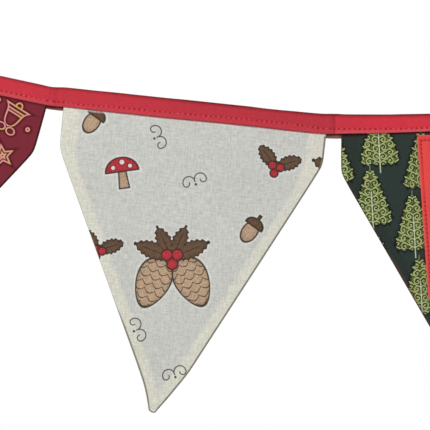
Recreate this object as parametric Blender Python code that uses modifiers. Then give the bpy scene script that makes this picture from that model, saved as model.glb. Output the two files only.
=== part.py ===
"""A fabric bunting: three shield-shaped cotton pennants sewn into a folded red tape.

Metres, +Z up, the front faces -Y. The origin is on the tape's folded top edge, above the
middle pennant, where the tape is held up.
"""

import math
from typing import NamedTuple

import bmesh
import bpy

MM = 0.001

# Cloth, in millimetres.
LEAF_THICK = 1.0  # one leaf of the tape, with its turned-in hem
PENNANT_THICK = 1.2  # two layers of cotton, sewn and turned
PATCH_THICK = 1.0
CLEARANCE = 0.3  # between any two pieces

# The tape. Places along it are measured along its top fold from the origin, right positive.
TAPE_LEFT = -322.0
TAPE_RIGHT = 322.0
BACK_LEAF_LONGER = 2.6  # how far the back leaf shows below the front one
PLAIN_STEP = 6.5  # between the tape's cross-sections
BEND_STEP = 1.3  # between them near a pennant's edge
BEND_REACH = 8.0  # how near that is
PINCH_START = 1.4  # how far beyond a pennant's edge the leaves begin to close
PINCH_LENGTH = 2.6  # over which they close
FOLD_STEPS = 6  # round the top fold

# The slope of the fold in degrees, rising to the right: (place along it, slope).
SLOPES = (
    (-322.0, -13.5),
    (-150.0, -12.2),
    (-98.0, -12.2),
    (-91.5, -14.5),
    (-87.0, -1.5),
    (-82.0, -1.0),
    (-78.5, -6.2),
    (70.0, -5.9),
    (81.0, -4.5),
    (86.0, 0.5),
    (91.0, 0.3),
    (94.0, -4.0),
    (98.0, -0.3),
    (128.0, 0.2),
    (145.0, 1.2),
    (262.0, 1.2),
    (322.0, 4.0),
)

# The height of the front leaf: (place along the fold, height).
FRONT_HEIGHTS = (
    (-98.0, 12.3),
    (-90.0, 11.9),
    (-82.0, 12.3),
    (88.0, 12.3),
    (98.0, 11.7),
    (128.0, 11.2),
    (150.0, 10.9),
    (322.0, 11.8),
)


class Pennant(NamedTuple):
    """A pennant hangs square to the tape at its own middle. A corner of its outline is
    (distance right of that middle line, depth below the fold)."""

    name: str
    colour: tuple
    middle: float  # place of its middle line along the fold
    left_shoulder: tuple
    right_shoulder: tuple
    point: tuple  # where its two tapers would meet
    point_bend: float  # how far right the point itself is drawn aside
    lift: float  # how far forward of the tape the point stands
    wave_height: float
    wave_length: float
    wave_lean: float  # degrees
    wave_start: float  # radians


PENNANTS = (
    Pennant(
        name="flag_left",
        colour=(0.19, 0.02, 0.035),
        middle=-171.8,
        left_shoulder=(-84.5, 36.0),
        right_shoulder=(81.1, 42.6),
        point=(-17.1, 205.3),
        point_bend=2.5,
        lift=1.6,
        wave_height=1.4,
        wave_length=118.0,
        wave_lean=24.0,
        wave_start=0.6,
    ),
    Pennant(
        name="flag_middle",
        colour=(0.56, 0.55, 0.50),
        middle=3.0,
        left_shoulder=(-83.0, 38.6),
        right_shoulder=(83.5, 31.8),
        point=(-3.3, 202.8),
        point_bend=-5.6,
        lift=2.0,
        wave_height=1.6,
        wave_length=131.0,
        wave_lean=-18.0,
        wave_start=2.4,
    ),
    Pennant(
        name="flag_right",
        colour=(0.022, 0.035, 0.033),
        middle=177.8,
        left_shoulder=(-84.4, 36.2),
        right_shoulder=(82.6, 35.5),
        point=(8.0, 204.0),
        point_bend=-1.5,
        lift=1.8,
        wave_height=1.3,
        wave_length=124.0,
        wave_lean=15.0,
        wave_start=4.1,
    ),
)
PENNANT_HALF_WIDTH = 83.3
PENNANT_TOP = 3.0  # depth of the raw top edge, inside the tape
SHOULDER_SOFTNESS = 0.8  # how much of the corner between side and taper is rounded away
TIP_RADIUS = 3.9
TIP_FLAT_ANGLE = 20.0  # the rounded point ends in a short flat this far from its axis
BEND_START = 38.0  # height above the point where it begins to be drawn aside
WAVES_START = 14.0  # depth above which the tape holds the cloth flat
WAVES_FULL = 80.0  # depth below which the waves have their whole height
PENNANT_COLUMNS = 12
PENNANT_ROWS = 24
TIP_ROWS = 4

# The patch on the right pennant. Its sides lean with the pennant's point.
PATCH_COLOUR = (0.76, 0.065, 0.06)
PATCH_WIDTH = 71.0
PATCH_HEIGHT = 104.0
PATCH_TOP = 13.2  # depth below the fold
PATCH_ASIDE = -0.5  # its top middle, right of the pennant's middle line
PATCH_LEAN = 2.7  # degrees
PATCH_CORNER = 1.8
CORNER_STEPS = 3
PATCH_COLUMNS = 8
PATCH_ROWS = 12

TAPE_COLOUR = (0.55, 0.04, 0.062)
COTTON_ROUGHNESS = 0.9
SHARP_ANGLE = 40.0  # degrees between faces that stay unsmoothed


def clear_scene():
    for thing in list(bpy.data.objects):
        bpy.data.objects.remove(thing, do_unlink=True)


def read_table(table, place):
    """The value at a place in a table of (place, value), straight between its rows."""
    if place <= table[0][0]:
        return table[0][1]
    for (before, low), (after, high) in zip(table, table[1:]):
        if place <= after:
            return low + (high - low) * (place - before) / (after - before)
    return table[-1][1]


def smooth_step(low, high, value):
    share = min(max((value - low) / (high - low), 0.0), 1.0)
    return share * share * (3 - 2 * share)


def fold_point(place):
    """(x, z, slope in radians) of the fold at a place along it."""
    steps = max(1, math.ceil(abs(place)))
    x = z = 0.0
    for index in range(steps):
        slope = math.radians(read_table(SLOPES, place * (index + 0.5) / steps))
        x += math.cos(slope) * place / steps
        z += math.sin(slope) * place / steps
    return x, z, math.radians(read_table(SLOPES, place))


def from_pennants(place):
    """How far beyond the nearest pennant's edge a place of the tape is, or under 0 on one."""
    return min(abs(place - pennant.middle) - PENNANT_HALF_WIDTH for pennant in PENNANTS)


def half_slot(place):
    """Half the space between the tape's two leaves: open for a pennant, else pinched."""
    wide = PENNANT_THICK / 2 + CLEARANCE
    narrow = CLEARANCE / 2
    closed = smooth_step(PINCH_START, PINCH_START + PINCH_LENGTH, from_pennants(place))
    return wide + (narrow - wide) * closed


def section_places():
    """Where the tape's cross-sections stand: close together near the pennants' edges."""
    places = [TAPE_LEFT]
    while places[-1] < TAPE_RIGHT:
        edge_is_near = abs(from_pennants(places[-1])) < BEND_REACH
        places.append(places[-1] + (BEND_STEP if edge_is_near else PLAIN_STEP))
    places[-1] = TAPE_RIGHT
    return places


def tape_profile(place):
    """Points (y, depth) of the middle of the tape's cloth, from the back leaf's lower edge
    over the fold to the front leaf's. The back leaf stays in one plane."""
    back = PENNANT_THICK / 2 + CLEARANCE + LEAF_THICK / 2
    radius = half_slot(place) + LEAF_THICK / 2
    middle = back - radius
    bend_depth = LEAF_THICK / 2 + radius
    front_height = read_table(FRONT_HEIGHTS, place)
    back_height = front_height + BACK_LEAF_LONGER
    points = [(back, back_height), (back, (back_height + bend_depth) / 2)]
    for index in range(FOLD_STEPS + 1):
        angle = math.pi * index / FOLD_STEPS
        y = middle + radius * math.cos(angle)
        points.append((y, bend_depth - radius * math.sin(angle)))
    front = middle - radius
    return points + [(front, (front_height + bend_depth) / 2), (front, front_height)]


def pennant_edges(pennant, depth):
    """(left, right) of a pennant's outline at a depth, before its point is rounded.

    An edge is the nearer of its side and its taper, with the corner between them soft."""
    point_across, point_depth = pennant.point
    edges = []
    for sign, (across, shoulder) in ((-1, pennant.left_shoulder), (1, pennant.right_shoulder)):
        side = PENNANT_HALF_WIDTH + (sign * across - PENNANT_HALF_WIDTH) * depth / shoulder
        run = (depth - shoulder) / (point_depth - shoulder)
        taper = sign * (across + (point_across - across) * run)
        soft = math.hypot((side - taper) / 2, SHOULDER_SOFTNESS)
        edges.append(sign * ((side + taper) / 2 - soft))
    bend_share = max(depth - point_depth + BEND_START, 0.0) / BEND_START
    bend = pennant.point_bend * bend_share**2
    return edges[0] + bend, edges[1] + bend


def pennant_rows(pennant):
    """(depth, left, right) of each row of the sheet, from the hidden top edge to the point.

    The point is a circle between the two tapers, and ends in a short flat."""
    point_depth = pennant.point[1]
    shoulder = (pennant.left_shoulder[1] + pennant.right_shoulder[1]) / 2
    taper_angle = math.atan(PENNANT_HALF_WIDTH / (point_depth - shoulder))
    centre = point_depth - TIP_RADIUS / math.sin(taper_angle)
    touch = centre + TIP_RADIUS * math.sin(taper_angle)
    rows = []
    for index in range(PENNANT_ROWS):
        depth = PENNANT_TOP + (touch - PENNANT_TOP) * index / (PENNANT_ROWS - 1)
        rows.append((depth, *pennant_edges(pennant, depth)))
    start = math.pi / 2 - taper_angle
    stop = math.radians(TIP_FLAT_ANGLE)
    for index in range(1, TIP_ROWS + 1):
        angle = start + (stop - start) * index / TIP_ROWS
        depth = centre + TIP_RADIUS * math.cos(angle)
        middle = sum(pennant_edges(pennant, depth)) / 2
        half = TIP_RADIUS * math.sin(angle)
        rows.append((depth, middle - half, middle + half))
    return rows


def forward(pennant, across, depth):
    """How far a pennant's cloth stands forward of the tape's middle plane."""
    share = max(depth - WAVES_START, 0.0) / (pennant.point[1] - WAVES_START)
    lean = math.radians(pennant.wave_lean)
    travel = across * math.cos(lean) + depth * math.sin(lean)
    phase = pennant.wave_start + math.tau * travel / pennant.wave_length
    wave = pennant.wave_height * (0.5 - 0.5 * math.cos(phase))
    return pennant.lift * share**2 + wave * smooth_step(WAVES_START, WAVES_FULL, depth)


def tape_to_world(place, y, depth):
    """A point at a depth below the fold, square to it, in metres."""
    x, z, slope = fold_point(place)
    return (
        (x + math.sin(slope) * depth) * MM,
        y * MM,
        (z - math.cos(slope) * depth) * MM,
    )


def pennant_to_world(pennant, across, depth, in_front=0.0):
    """A point of a pennant, or of what lies in front of it, in metres."""
    x, z, slope = fold_point(pennant.middle)
    return (
        (x + math.cos(slope) * across + math.sin(slope) * depth) * MM,
        (-forward(pennant, across, depth) - in_front) * MM,
        (z + math.sin(slope) * across - math.cos(slope) * depth) * MM,
    )


def cotton(name, colour):
    material = bpy.data.materials.new(name)
    material.use_nodes = True
    shader = material.node_tree.nodes["Principled BSDF"]
    shader.inputs["Base Color"].default_value = (*colour, 1.0)
    shader.inputs["Roughness"].default_value = COTTON_ROUGHNESS
    shader.inputs["Metallic"].default_value = 0.0
    return material


def finish_sheet(sheet, name, colour, thickness):
    """Turns a bmesh sheet into an object with its thickness, half to each side."""
    mesh = bpy.data.meshes.new(name)
    sheet.to_mesh(mesh)
    sheet.free()
    mesh.materials.append(cotton(name, colour))
    mesh.shade_smooth()
    mesh.set_sharp_from_angle(angle=math.radians(SHARP_ANGLE))
    piece = bpy.data.objects.new(name, mesh)
    bpy.data.collections["fabric_bunting"].objects.link(piece)
    solidify = piece.modifiers.new("Thickness", "SOLIDIFY")
    solidify.thickness = thickness * MM
    solidify.offset = 0.0
    solidify.use_even_offset = True


def make_tape():
    """A grid with a column for each cross-section, bent over the fold."""
    places = section_places()
    profiles = [tape_profile(place) for place in places]
    columns = len(places) - 1
    rows = len(profiles[0]) - 1
    sheet = bmesh.new()
    bmesh.ops.create_grid(sheet, x_segments=columns, y_segments=rows, size=1.0)
    for vert in sheet.verts:
        column = round((vert.co.x + 1) / 2 * columns)
        row = round((vert.co.y + 1) / 2 * rows)
        vert.co = tape_to_world(places[column], *profiles[column][row])
    finish_sheet(sheet, "tape", TAPE_COLOUR, LEAF_THICK)


def make_pennant(pennant):
    """A grid laid between the two edges of the outline, row by row."""
    rows = pennant_rows(pennant)
    last = len(rows) - 1
    sheet = bmesh.new()
    bmesh.ops.create_grid(sheet, x_segments=PENNANT_COLUMNS, y_segments=last, size=1.0)
    for vert in sheet.verts:
        depth, left, right = rows[round((1 - vert.co.y) / 2 * last)]
        across = left + (right - left) * (vert.co.x + 1) / 2
        vert.co = pennant_to_world(pennant, across, depth)
    finish_sheet(sheet, pennant.name, pennant.colour, PENNANT_THICK)


def make_patch(pennant):
    """A rectangle with rounded corners that follows the pennant's waves."""
    sheet = bmesh.new()
    bmesh.ops.create_grid(
        sheet, x_segments=PATCH_COLUMNS, y_segments=PATCH_ROWS, size=0.5
    )
    for vert in sheet.verts:
        vert.co.x *= PATCH_WIDTH
        vert.co.y *= PATCH_HEIGHT
    bmesh.ops.bevel(
        sheet,
        geom=[vert for vert in sheet.verts if len(vert.link_edges) == 2],
        offset=PATCH_CORNER,
        segments=CORNER_STEPS,
        profile=0.5,
        affect="VERTICES",
        material=-1,
    )
    in_front = PENNANT_THICK / 2 + CLEARANCE + PATCH_THICK / 2
    for vert in sheet.verts:
        down = PATCH_HEIGHT / 2 - vert.co.y
        across = PATCH_ASIDE + vert.co.x + down * math.tan(math.radians(PATCH_LEAN))
        vert.co = pennant_to_world(pennant, across, PATCH_TOP + down, in_front)
    finish_sheet(sheet, "patch", PATCH_COLOUR, PATCH_THICK)


def main():
    clear_scene()
    bunting = bpy.data.collections.new("fabric_bunting")
    bpy.context.scene.collection.children.link(bunting)
    make_tape()
    for pennant in PENNANTS:
        make_pennant(pennant)
    make_patch(PENNANTS[-1])


main()
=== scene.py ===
# %% [markdown]
# # A fabric bunting, sewn in bmesh and printed in shader nodes
#
# The real thing is three cotton pennants, each two layers sewn and turned, with their raw tops
# closed into a folded red tape. A red patch is stitched on the right pennant. The solid model
# gives every place and size. This lesson replaces its plain solids with finer sheets of cloth,
# and gives each sheet its weave, print, seams and stitches.

import math
from typing import NamedTuple

import bmesh
import bpy
from mathutils import Matrix, Vector, kdtree, noise


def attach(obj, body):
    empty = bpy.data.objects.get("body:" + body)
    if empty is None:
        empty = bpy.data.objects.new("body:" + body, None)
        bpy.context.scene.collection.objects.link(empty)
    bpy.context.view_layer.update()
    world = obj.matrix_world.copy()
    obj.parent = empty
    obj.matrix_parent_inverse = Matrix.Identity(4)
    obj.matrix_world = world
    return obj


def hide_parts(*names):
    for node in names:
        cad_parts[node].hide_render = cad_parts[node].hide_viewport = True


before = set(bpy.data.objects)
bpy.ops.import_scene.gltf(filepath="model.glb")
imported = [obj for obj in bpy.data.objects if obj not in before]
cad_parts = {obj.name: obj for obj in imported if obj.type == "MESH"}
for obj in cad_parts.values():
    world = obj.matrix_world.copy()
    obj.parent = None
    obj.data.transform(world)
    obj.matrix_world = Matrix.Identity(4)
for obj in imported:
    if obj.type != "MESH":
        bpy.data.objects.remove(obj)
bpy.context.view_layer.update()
print("solid nodes:", sorted(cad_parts))

# %% [markdown]
# ## Short tables in place of curves
#
# Sewn cloth is never quite even: a tape is a little higher here and a little duller there. Such
# changes could be keyed on a curve or painted as weights. A short table says the same in a few
# numbers that are easy to read and to correct, and one function reads them all. Lengths are in
# millimetres until the last moment.

# %% Tables and soft steps
MM = 0.001


def read_table(table, place, column=1):
    """The value at a place in a table whose rows start with a place, straight between rows."""
    if place <= table[0][0]:
        return table[0][column]
    for before, after in zip(table, table[1:]):
        if place <= after[0]:
            share = (place - before[0]) / (after[0] - before[0])
            return before[column] + (after[column] - before[column]) * share
    return table[-1][column]


def smooth_step(low, high, value):
    """0 up to low and 1 from high on, with a soft start and a soft end between them."""
    share = min(max((value - low) / (high - low), 0.0), 1.0)
    return share * share * (3 - 2 * share)


print("a quarter of the way, a soft step has reached", smooth_step(0.0, 1.0, 0.25))

# %% [markdown]
# ## The line that the tape hangs in
#
# A tape held at its ends and loaded by three pennants bends most in the two gaps between them.
# It could be a curve object with keyed points, but then the pennants could not ask it for a
# place. A table of slopes, added up step by step, answers for any place along the fold and keeps
# the tape's length true.

# %% The fold line
TAPE_LEFT, TAPE_RIGHT = -322.0, 322.0

# The slope of the fold in degrees, rising to the right: (place along it, slope).
SLOPES = (
    (-322.0, -13.5), (-150.0, -12.2), (-98.0, -12.2), (-91.5, -14.5), (-87.0, -1.5),
    (-82.0, -1.0), (-78.5, -6.2), (70.0, -5.9), (81.0, -4.5), (86.0, 0.5), (91.0, 0.3),
    (94.0, -4.0), (98.0, -0.3), (128.0, 0.2), (145.0, 1.2), (262.0, 1.2), (322.0, 4.0),
)


def fold_point(place):
    """(x, z, slope in radians) of the fold at a place along it."""
    steps = max(1, math.ceil(abs(place)))
    x = z = 0.0
    for index in range(steps):
        slope = math.radians(read_table(SLOPES, place * (index + 0.5) / steps))
        x += math.cos(slope) * place / steps
        z += math.sin(slope) * place / steps
    return x, z, math.radians(read_table(SLOPES, place))


for place in (TAPE_LEFT, 0.0, TAPE_RIGHT):
    print("fold at", place, [round(value, 2) for value in fold_point(place)[:2]])

# %% [markdown]
# ## The three pennants' sizes
#
# Each pennant was cut by hand from the same card, so the three differ by a few millimetres.
# Three drawn outlines would hide what they share. A row of named values for each one shows it,
# and the sizes below the rows hold for all three.

# %% Pennant sizes


class Pennant(NamedTuple):
    """A corner is (distance right of the middle line, depth below the fold)."""

    name: str
    middle: float  # place of its middle line along the fold
    left_shoulder: tuple
    right_shoulder: tuple
    point: tuple  # where its two tapers would meet
    point_bend: float  # how far right the point itself is drawn aside
    lift: float  # how far forward of the tape the point stands
    wave_height: float
    wave_length: float
    wave_lean: float  # degrees
    wave_start: float  # radians


PENNANTS = (
    Pennant("flag_left", -171.8, (-84.5, 36.0), (81.1, 42.6), (-17.1, 205.3), 2.5,
            lift=1.6, wave_height=1.4, wave_length=118.0, wave_lean=24.0, wave_start=0.6),
    Pennant("flag_middle", 3.0, (-83.0, 38.6), (83.5, 31.8), (-3.3, 202.8), -5.6,
            lift=2.0, wave_height=1.6, wave_length=131.0, wave_lean=-18.0, wave_start=2.4),
    Pennant("flag_right", 177.8, (-84.4, 36.2), (82.6, 35.5), (8.0, 204.0), -1.5,
            lift=1.8, wave_height=1.3, wave_length=124.0, wave_lean=15.0, wave_start=4.1),
)
HALF_WIDTH = 83.3
PENNANT_TOP = 3.0  # depth of the raw top edge, inside the tape
hang_lines = {pennant.name: fold_point(pennant.middle) for pennant in PENNANTS}
for name, (x, z, slope) in hang_lines.items():
    print(name, "hangs at", (round(x, 1), round(z, 1)), "on a slope of",
          round(math.degrees(slope), 1), "degrees")

# %% [markdown]
# ## One outline for all three
#
# A pennant has straight sides, soft shoulders, two tapers and a small rounded point. At any depth
# its edge is the nearer of two straight lines, the side and the taper. Plainly taking the nearer
# one leaves a sharp corner. A little hyperbola between them rounds it, as turned cloth is round.
# Close to its point the real one is pulled a little aside, and is narrower than its tapers.

# %% Outline of a pennant
SHOULDER_SOFTNESS = 0.8
BEND_START = 38.0  # height above the point where it begins to be drawn aside
# How much narrower each side is at the point than its straight taper, and the heights above the
# point where that starts and is complete.
DRAWN_IN, DRAWN_IN_START, DRAWN_IN_FULL = 0.6, 34.0, 19.0


def pennant_edges(pennant, depth):
    """(left, right) of the outline at a depth."""
    point_across, point_depth = pennant.point
    edges = []
    for sign, (across, shoulder) in ((-1, pennant.left_shoulder), (1, pennant.right_shoulder)):
        side = HALF_WIDTH + (sign * across - HALF_WIDTH) * depth / shoulder
        run = (depth - shoulder) / (point_depth - shoulder)
        taper = sign * (across + (point_across - across) * run)
        soft = math.hypot((side - taper) / 2, SHOULDER_SOFTNESS)
        edges.append(sign * ((side + taper) / 2 - soft))
    bend_share = max(depth - point_depth + BEND_START, 0.0) / BEND_START
    bend = pennant.point_bend * bend_share**2
    low, high = point_depth - DRAWN_IN_START, point_depth - DRAWN_IN_FULL
    drawn_in = DRAWN_IN * smooth_step(low, high, depth)
    return edges[0] + bend + drawn_in, edges[1] + bend - drawn_in


def shoulder_depth(pennant):
    return (pennant.left_shoulder[1] + pennant.right_shoulder[1]) / 2


for pennant in PENNANTS:
    left, right = pennant_edges(pennant, shoulder_depth(pennant))
    print(pennant.name, "is", round(right - left, 1), "mm wide at its shoulders")

# %% [markdown]
# ## Rows from the tape to the point
#
# A pennant's mesh is a grid, and each row of the grid runs from the left edge to the right one.
# Rows that stand evenly apart would cut the rounded point into a blunt stub. So the last few
# rows step round the point's circle by angle, which keeps its curve with very few faces.

# %% Rows of a pennant
ROW_STEP = 1.4
TIP_RADIUS = 2.95
TIP_SKEW = 0.28  # how far right the rounded point leans for each millimetre of its depth
TIP_ROWS = 10
TIP_LAST_ANGLE = 7.0  # degrees from the point's axis, where the last short row lies


def pennant_rows(pennant):
    """(depth, left, right) of each row, from the hidden top edge to the point."""
    point_depth = pennant.point[1]
    taper_angle = math.atan(HALF_WIDTH / (point_depth - shoulder_depth(pennant)))
    sharp_point = point_depth - DRAWN_IN / math.tan(taper_angle)
    centre = sharp_point - TIP_RADIUS / math.sin(taper_angle)
    touch = centre + TIP_RADIUS * math.sin(taper_angle)
    count = round((touch - PENNANT_TOP) / ROW_STEP)
    rows = []
    for index in range(count + 1):
        depth = PENNANT_TOP + (touch - PENNANT_TOP) * index / count
        rows.append((depth, *pennant_edges(pennant, depth)))
    start, stop = math.pi / 2 - taper_angle, math.radians(TIP_LAST_ANGLE)
    touch_middle = sum(rows[-1][1:]) / 2
    for index in range(1, TIP_ROWS + 1):
        angle = start + (stop - start) * index / TIP_ROWS
        depth = centre + TIP_RADIUS * math.cos(angle)
        middle = touch_middle + (depth - touch) * TIP_SKEW
        half = TIP_RADIUS * math.sin(angle)
        rows.append((depth, middle - half, middle + half))
    return rows


for pennant in PENNANTS:
    rows = pennant_rows(pennant)
    print(pennant.name, "has", len(rows), "rows, the last at", round(rows[-1][0], 1), "mm")

# %% [markdown]
# ## How cotton hangs
#
# A pennant this small stays almost flat. It has one long shallow wave, its point stands a little
# forward, and its surface is never quite even. A cloth simulation would need the same tuning and
# would give another result for each change. A few sines and some smooth noise do it at once, and
# the patch can ask for the same surface that it is sewn on.

# %% Waves and wrinkles
WAVES_START, WAVES_FULL = 14.0, 80.0  # the depths between which the waves grow
WRINKLES = ((46.0, 0.30), (15.0, 0.07))  # (size, height) of each scale of unevenness


def wrinkle(across, depth, seed):
    """Small uneven heights, none where the tape holds the cloth flat."""
    total = 0.0
    for size, height in WRINKLES:
        total += height * noise.noise(Vector((across / size, depth / size, seed)))
    return total * smooth_step(WAVES_START, WAVES_FULL / 2, depth)


def forward(pennant, across, depth):
    """How far a pennant's cloth stands forward of the tape's middle plane."""
    share = max(depth - WAVES_START, 0.0) / (pennant.point[1] - WAVES_START)
    lean = math.radians(pennant.wave_lean)
    travel = across * math.cos(lean) + depth * math.sin(lean)
    phase = pennant.wave_start + math.tau * travel / pennant.wave_length
    wave = pennant.wave_height * (0.5 - 0.5 * math.cos(phase))
    wave *= smooth_step(WAVES_START, WAVES_FULL, depth)
    return pennant.lift * share**2 + wave + wrinkle(across, depth, pennant.middle)


def on_pennant(pennant, across, depth, in_front=0.0):
    """A point of a pennant, or of what lies in front of it, in metres."""
    x, z, slope = hang_lines[pennant.name]
    return Vector((
        (x + math.cos(slope) * across + math.sin(slope) * depth) * MM,
        (-forward(pennant, across, depth) - in_front) * MM,
        (z + math.sin(slope) * across - math.cos(slope) * depth) * MM,
    ))


for pennant in PENNANTS:
    print(pennant.name, "points to", [round(x, 4) for x in on_pennant(pennant, *pennant.point)])

# %% [markdown]
# ## The camera
#
# The photograph looks straight at the bunting from the front. A long lens from well back has
# little perspective, as a product photograph has. The lens follows from the width of the view
# and the distance, so the view can be checked against real sizes.

# %% Camera
VIEW_WIDTH = 270.9 * MM
VIEW_CENTRE = Vector((14.49 * MM, 0.0, -72.0 * MM))
CAMERA_DISTANCE = 1.6

camera_data = bpy.data.cameras.new("camera")
camera_data.lens = camera_data.sensor_width * CAMERA_DISTANCE / VIEW_WIDTH
camera = bpy.data.objects.new("camera", camera_data)
camera.location = VIEW_CENTRE - Vector((0.0, CAMERA_DISTANCE, 0.0))
camera.rotation_euler = (math.pi / 2, 0.0, 0.0)
bpy.context.scene.collection.objects.link(camera)
bpy.context.scene.camera = camera
print("lens, mm:", round(camera_data.lens, 1))

# %% [markdown]
# ## Writing shader maths as Python
#
# A print is maths on the cloth's own coordinates: a disc is a length less a radius, and an
# outline is where that number is near nought. Placing Math nodes by hand for this takes
# hundreds of lines. A small class that wraps a socket lets a formula be written as a formula,
# and every operator adds its own Math node.

# %% Field: a number that varies over a surface


class Field:
    def __init__(self, finish, socket):
        self.finish, self.socket = finish, socket

    def math(self, operation, *others):
        values = dict(enumerate((self, *others)))
        return self.finish.node("ShaderNodeMath", {"operation": operation}, values)

    def __add__(self, other):
        return self.math("ADD", other)

    def __sub__(self, other):
        return self.math("SUBTRACT", other)

    def __rsub__(self, other):
        return -self + other

    def __mul__(self, other):
        return self.math("MULTIPLY", other)

    def __truediv__(self, other):
        return self.math("DIVIDE", other)

    def __neg__(self):
        return self.math("MULTIPLY", -1.0)

    def __abs__(self):
        return self.math("ABSOLUTE")

    def sine(self):
        return self.math("SINE")

    def cosine(self):
        return self.math("COSINE")

    def wrap(self, step):
        """The distance from the nearest multiple of a step."""
        return self.math("WRAP", step / 2, -step / 2)

    def below(self, limit, soft=0.2):
        """1 where the number is under a limit and 0 where it is over, with a soft edge."""
        settings = {"interpolation_type": "SMOOTHSTEP"}
        ends = {"From Min": limit + soft / 2, "From Max": limit - soft / 2}
        return self.finish.node("ShaderNodeMapRange", settings, {"Value": self, **ends})

    __radd__, __rmul__ = __add__, __mul__


print("made Field: every operator on it adds a Math node")

# %% [markdown]
# ## Joining and cutting shapes
#
# Where each shape is given by its distance, less than nought inside, two shapes are joined by
# taking the smaller distance at every spot, and one is cut by another by taking the larger. So
# two short functions stand in for a whole set of drawing tools.

# %% Least and most


def least(*fields):
    """The smallest of several numbers: it joins shapes. A shape may be None."""
    found, *others = [field for field in fields if field is not None]
    for other in others:
        found = found.math("MINIMUM", other)
    return found


def most(*fields):
    """The largest of several numbers: it keeps only what several shapes share."""
    found, *others = fields
    for other in others:
        found = found.math("MAXIMUM", other)
    return found


print("made least, which joins shapes, and most, which cuts them")

# %% [markdown]
# ## A finish is a material with one way to add a node
#
# Blender's nodes differ in their settings and sockets, yet each one is made the same way: choose
# the kind, set its settings, fill its sockets. One method does that for all of them, and the
# rest of the lesson never touches the node tree again.

# %% Finish


class Finish:
    def __init__(self, name, constants):
        self.material = bpy.data.materials.new(name)
        self.material.use_nodes = True
        self.nodes = self.material.node_tree.nodes
        self.links = self.material.node_tree.links
        self.shader = self.nodes["Principled BSDF"]
        for socket, value in constants.items():
            self.shader.inputs[socket].default_value = value

    def node(self, kind, settings, inputs, output=0):
        """A node with its settings, then the value or the link of each socket."""
        node = self.nodes.new(kind)
        for name, value in settings.items():
            setattr(node, name, value)
        for socket, value in inputs.items():
            if isinstance(value, Field):
                self.links.new(value.socket, node.inputs[socket])
            else:
                node.inputs[socket].default_value = value
        return Field(self, node.outputs[output])

    def mix(self, before, after, share, blend="MIX"):
        settings = {"data_type": "RGBA", "blend_type": blend}
        return self.node("ShaderNodeMix", settings, {0: share, 6: before, 7: after}, 2)

    def layers(self, shade, *tints):
        """A colour with others laid over it, each given as (colour, mask)."""
        for tint, mask in tints:
            shade = self.mix(shade, tint, mask)
        return shade

    def feed(self, socket, field):
        self.links.new(field.socket, self.shader.inputs[socket])


print("made Finish: its node() adds a node of any kind")

# %% [markdown]
# ## Cloth is a finish that knows how it lies
#
# A pattern has to follow the cloth and not the room, so a cloth's finish reads the flat cloth
# that it is printed on: its coordinates in millimetres, from a UV map, and the distances from
# seam and stitches that the mesh keeps at each point. Cotton is matt, with a trace of sheen from
# the fibres that stand up.

# %% Cloth
COTTON = {"Roughness": 0.92, "Specular IOR Level": 0.12, "Sheen Weight": 0.06,
          "Sheen Roughness": 0.7}


class Cloth(Finish):
    def __init__(self, name):
        super().__init__(name, COTTON)
        flat = self.node("ShaderNodeUVMap", {"uv_map": "cloth"}, {})
        flat = self.node("ShaderNodeVectorMath", {"operation": "SCALE"}, {0: flat, 3: 1 / MM})
        self.u, self.v = self.apart(flat)

    def apart(self, place):
        """The first two numbers of a place."""
        return tuple(self.node("ShaderNodeSeparateXYZ", {}, {0: place}, side) for side in (0, 1))

    def note(self, name):
        """A number that the mesh keeps at each point, in millimetres."""
        return self.node("ShaderNodeAttribute", {"attribute_name": name}, {}, "Fac")

    def place(self, x, y):
        return self.node("ShaderNodeCombineXYZ", {}, {0: x, 1: y})

    def length(self, x, y):
        settings = {"operation": "LENGTH"}
        return self.node("ShaderNodeVectorMath", settings, {0: self.place(x, y)}, "Value")

    def turned(self, x, y, degrees):
        """The coordinates of a shape that is turned anticlockwise."""
        settings = {"rotation_type": "Z_AXIS"}
        values = {"Vector": self.place(x, y), "Angle": -math.radians(degrees)}
        return self.apart(self.node("ShaderNodeVectorRotate", settings, values))

    def noise(self, width, height):
        """Noise about 0.5, whose blots have a width and a height in millimetres."""
        place = self.place(self.u / width, self.v / height)
        values = {"Vector": place, "Scale": 1.0, "Detail": 2.0}
        return self.node("ShaderNodeTexNoise", {"noise_dimensions": "2D"}, values)

    def woven(self, shade, height, brightness):
        """Puts the colour and the bump of the cloth on its shader."""
        grey = self.node("ShaderNodeCombineXYZ", {}, dict.fromkeys((0, 1, 2), brightness))
        self.feed("Base Color", self.mix(shade, grey, 1.0, "MULTIPLY"))
        self.feed("Normal", self.node("ShaderNodeBump", {}, {"Distance": MM, "Height": height}))
        return self.material


print("cotton:", COTTON)

# %% [markdown]
# ## Colours as the eye reads them
#
# A colour picked on a screen is stored for the eye, with its dark tones stretched. Nodes work
# with amounts of light, so a colour typed in as it is would come out pale. One function does
# the change, and every dye in the lesson can be given as a screen shows it.

# %% Colour


def colour(red, green, blue):
    """A colour as a screen shows it, 0 to 255, made the linear colour that nodes use."""
    linear = [((c / 255 + 0.055) / 1.055) ** 2.4 for c in (red, green, blue)]
    return (*linear, 1.0)


print("middle grey in linear light:", round(colour(128, 128, 128)[0], 3))

# %% [markdown]
# ## Plain weave
#
# All of these cloths are plain weave: each thread goes over one and under the next. Seen close,
# it is a field of tiny pillows, with a thicker thread here and there. The pillows are the
# product of two sines. They go in the bump alone, because they are far smaller than the mesh's
# faces. Long thin noise both ways gives the uneven threads, which show as faint streaks across
# and along the cloth.

# %% Weave
THREAD_STEP = 0.42
THREAD_HEIGHT = 0.035
STREAK_HEIGHT = 0.05
# Thick threads run far and flecks are short: (width, length, strength) of each.
SLUBS, FLECKS = (0.85, 14.0, 0.8), (0.9, 4.0, 1.5)
BLOTCH_WIDTH, BLOTCH_LENGTH, BLOTCH_STRENGTH = 26.0, 34.0, 0.09


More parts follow.
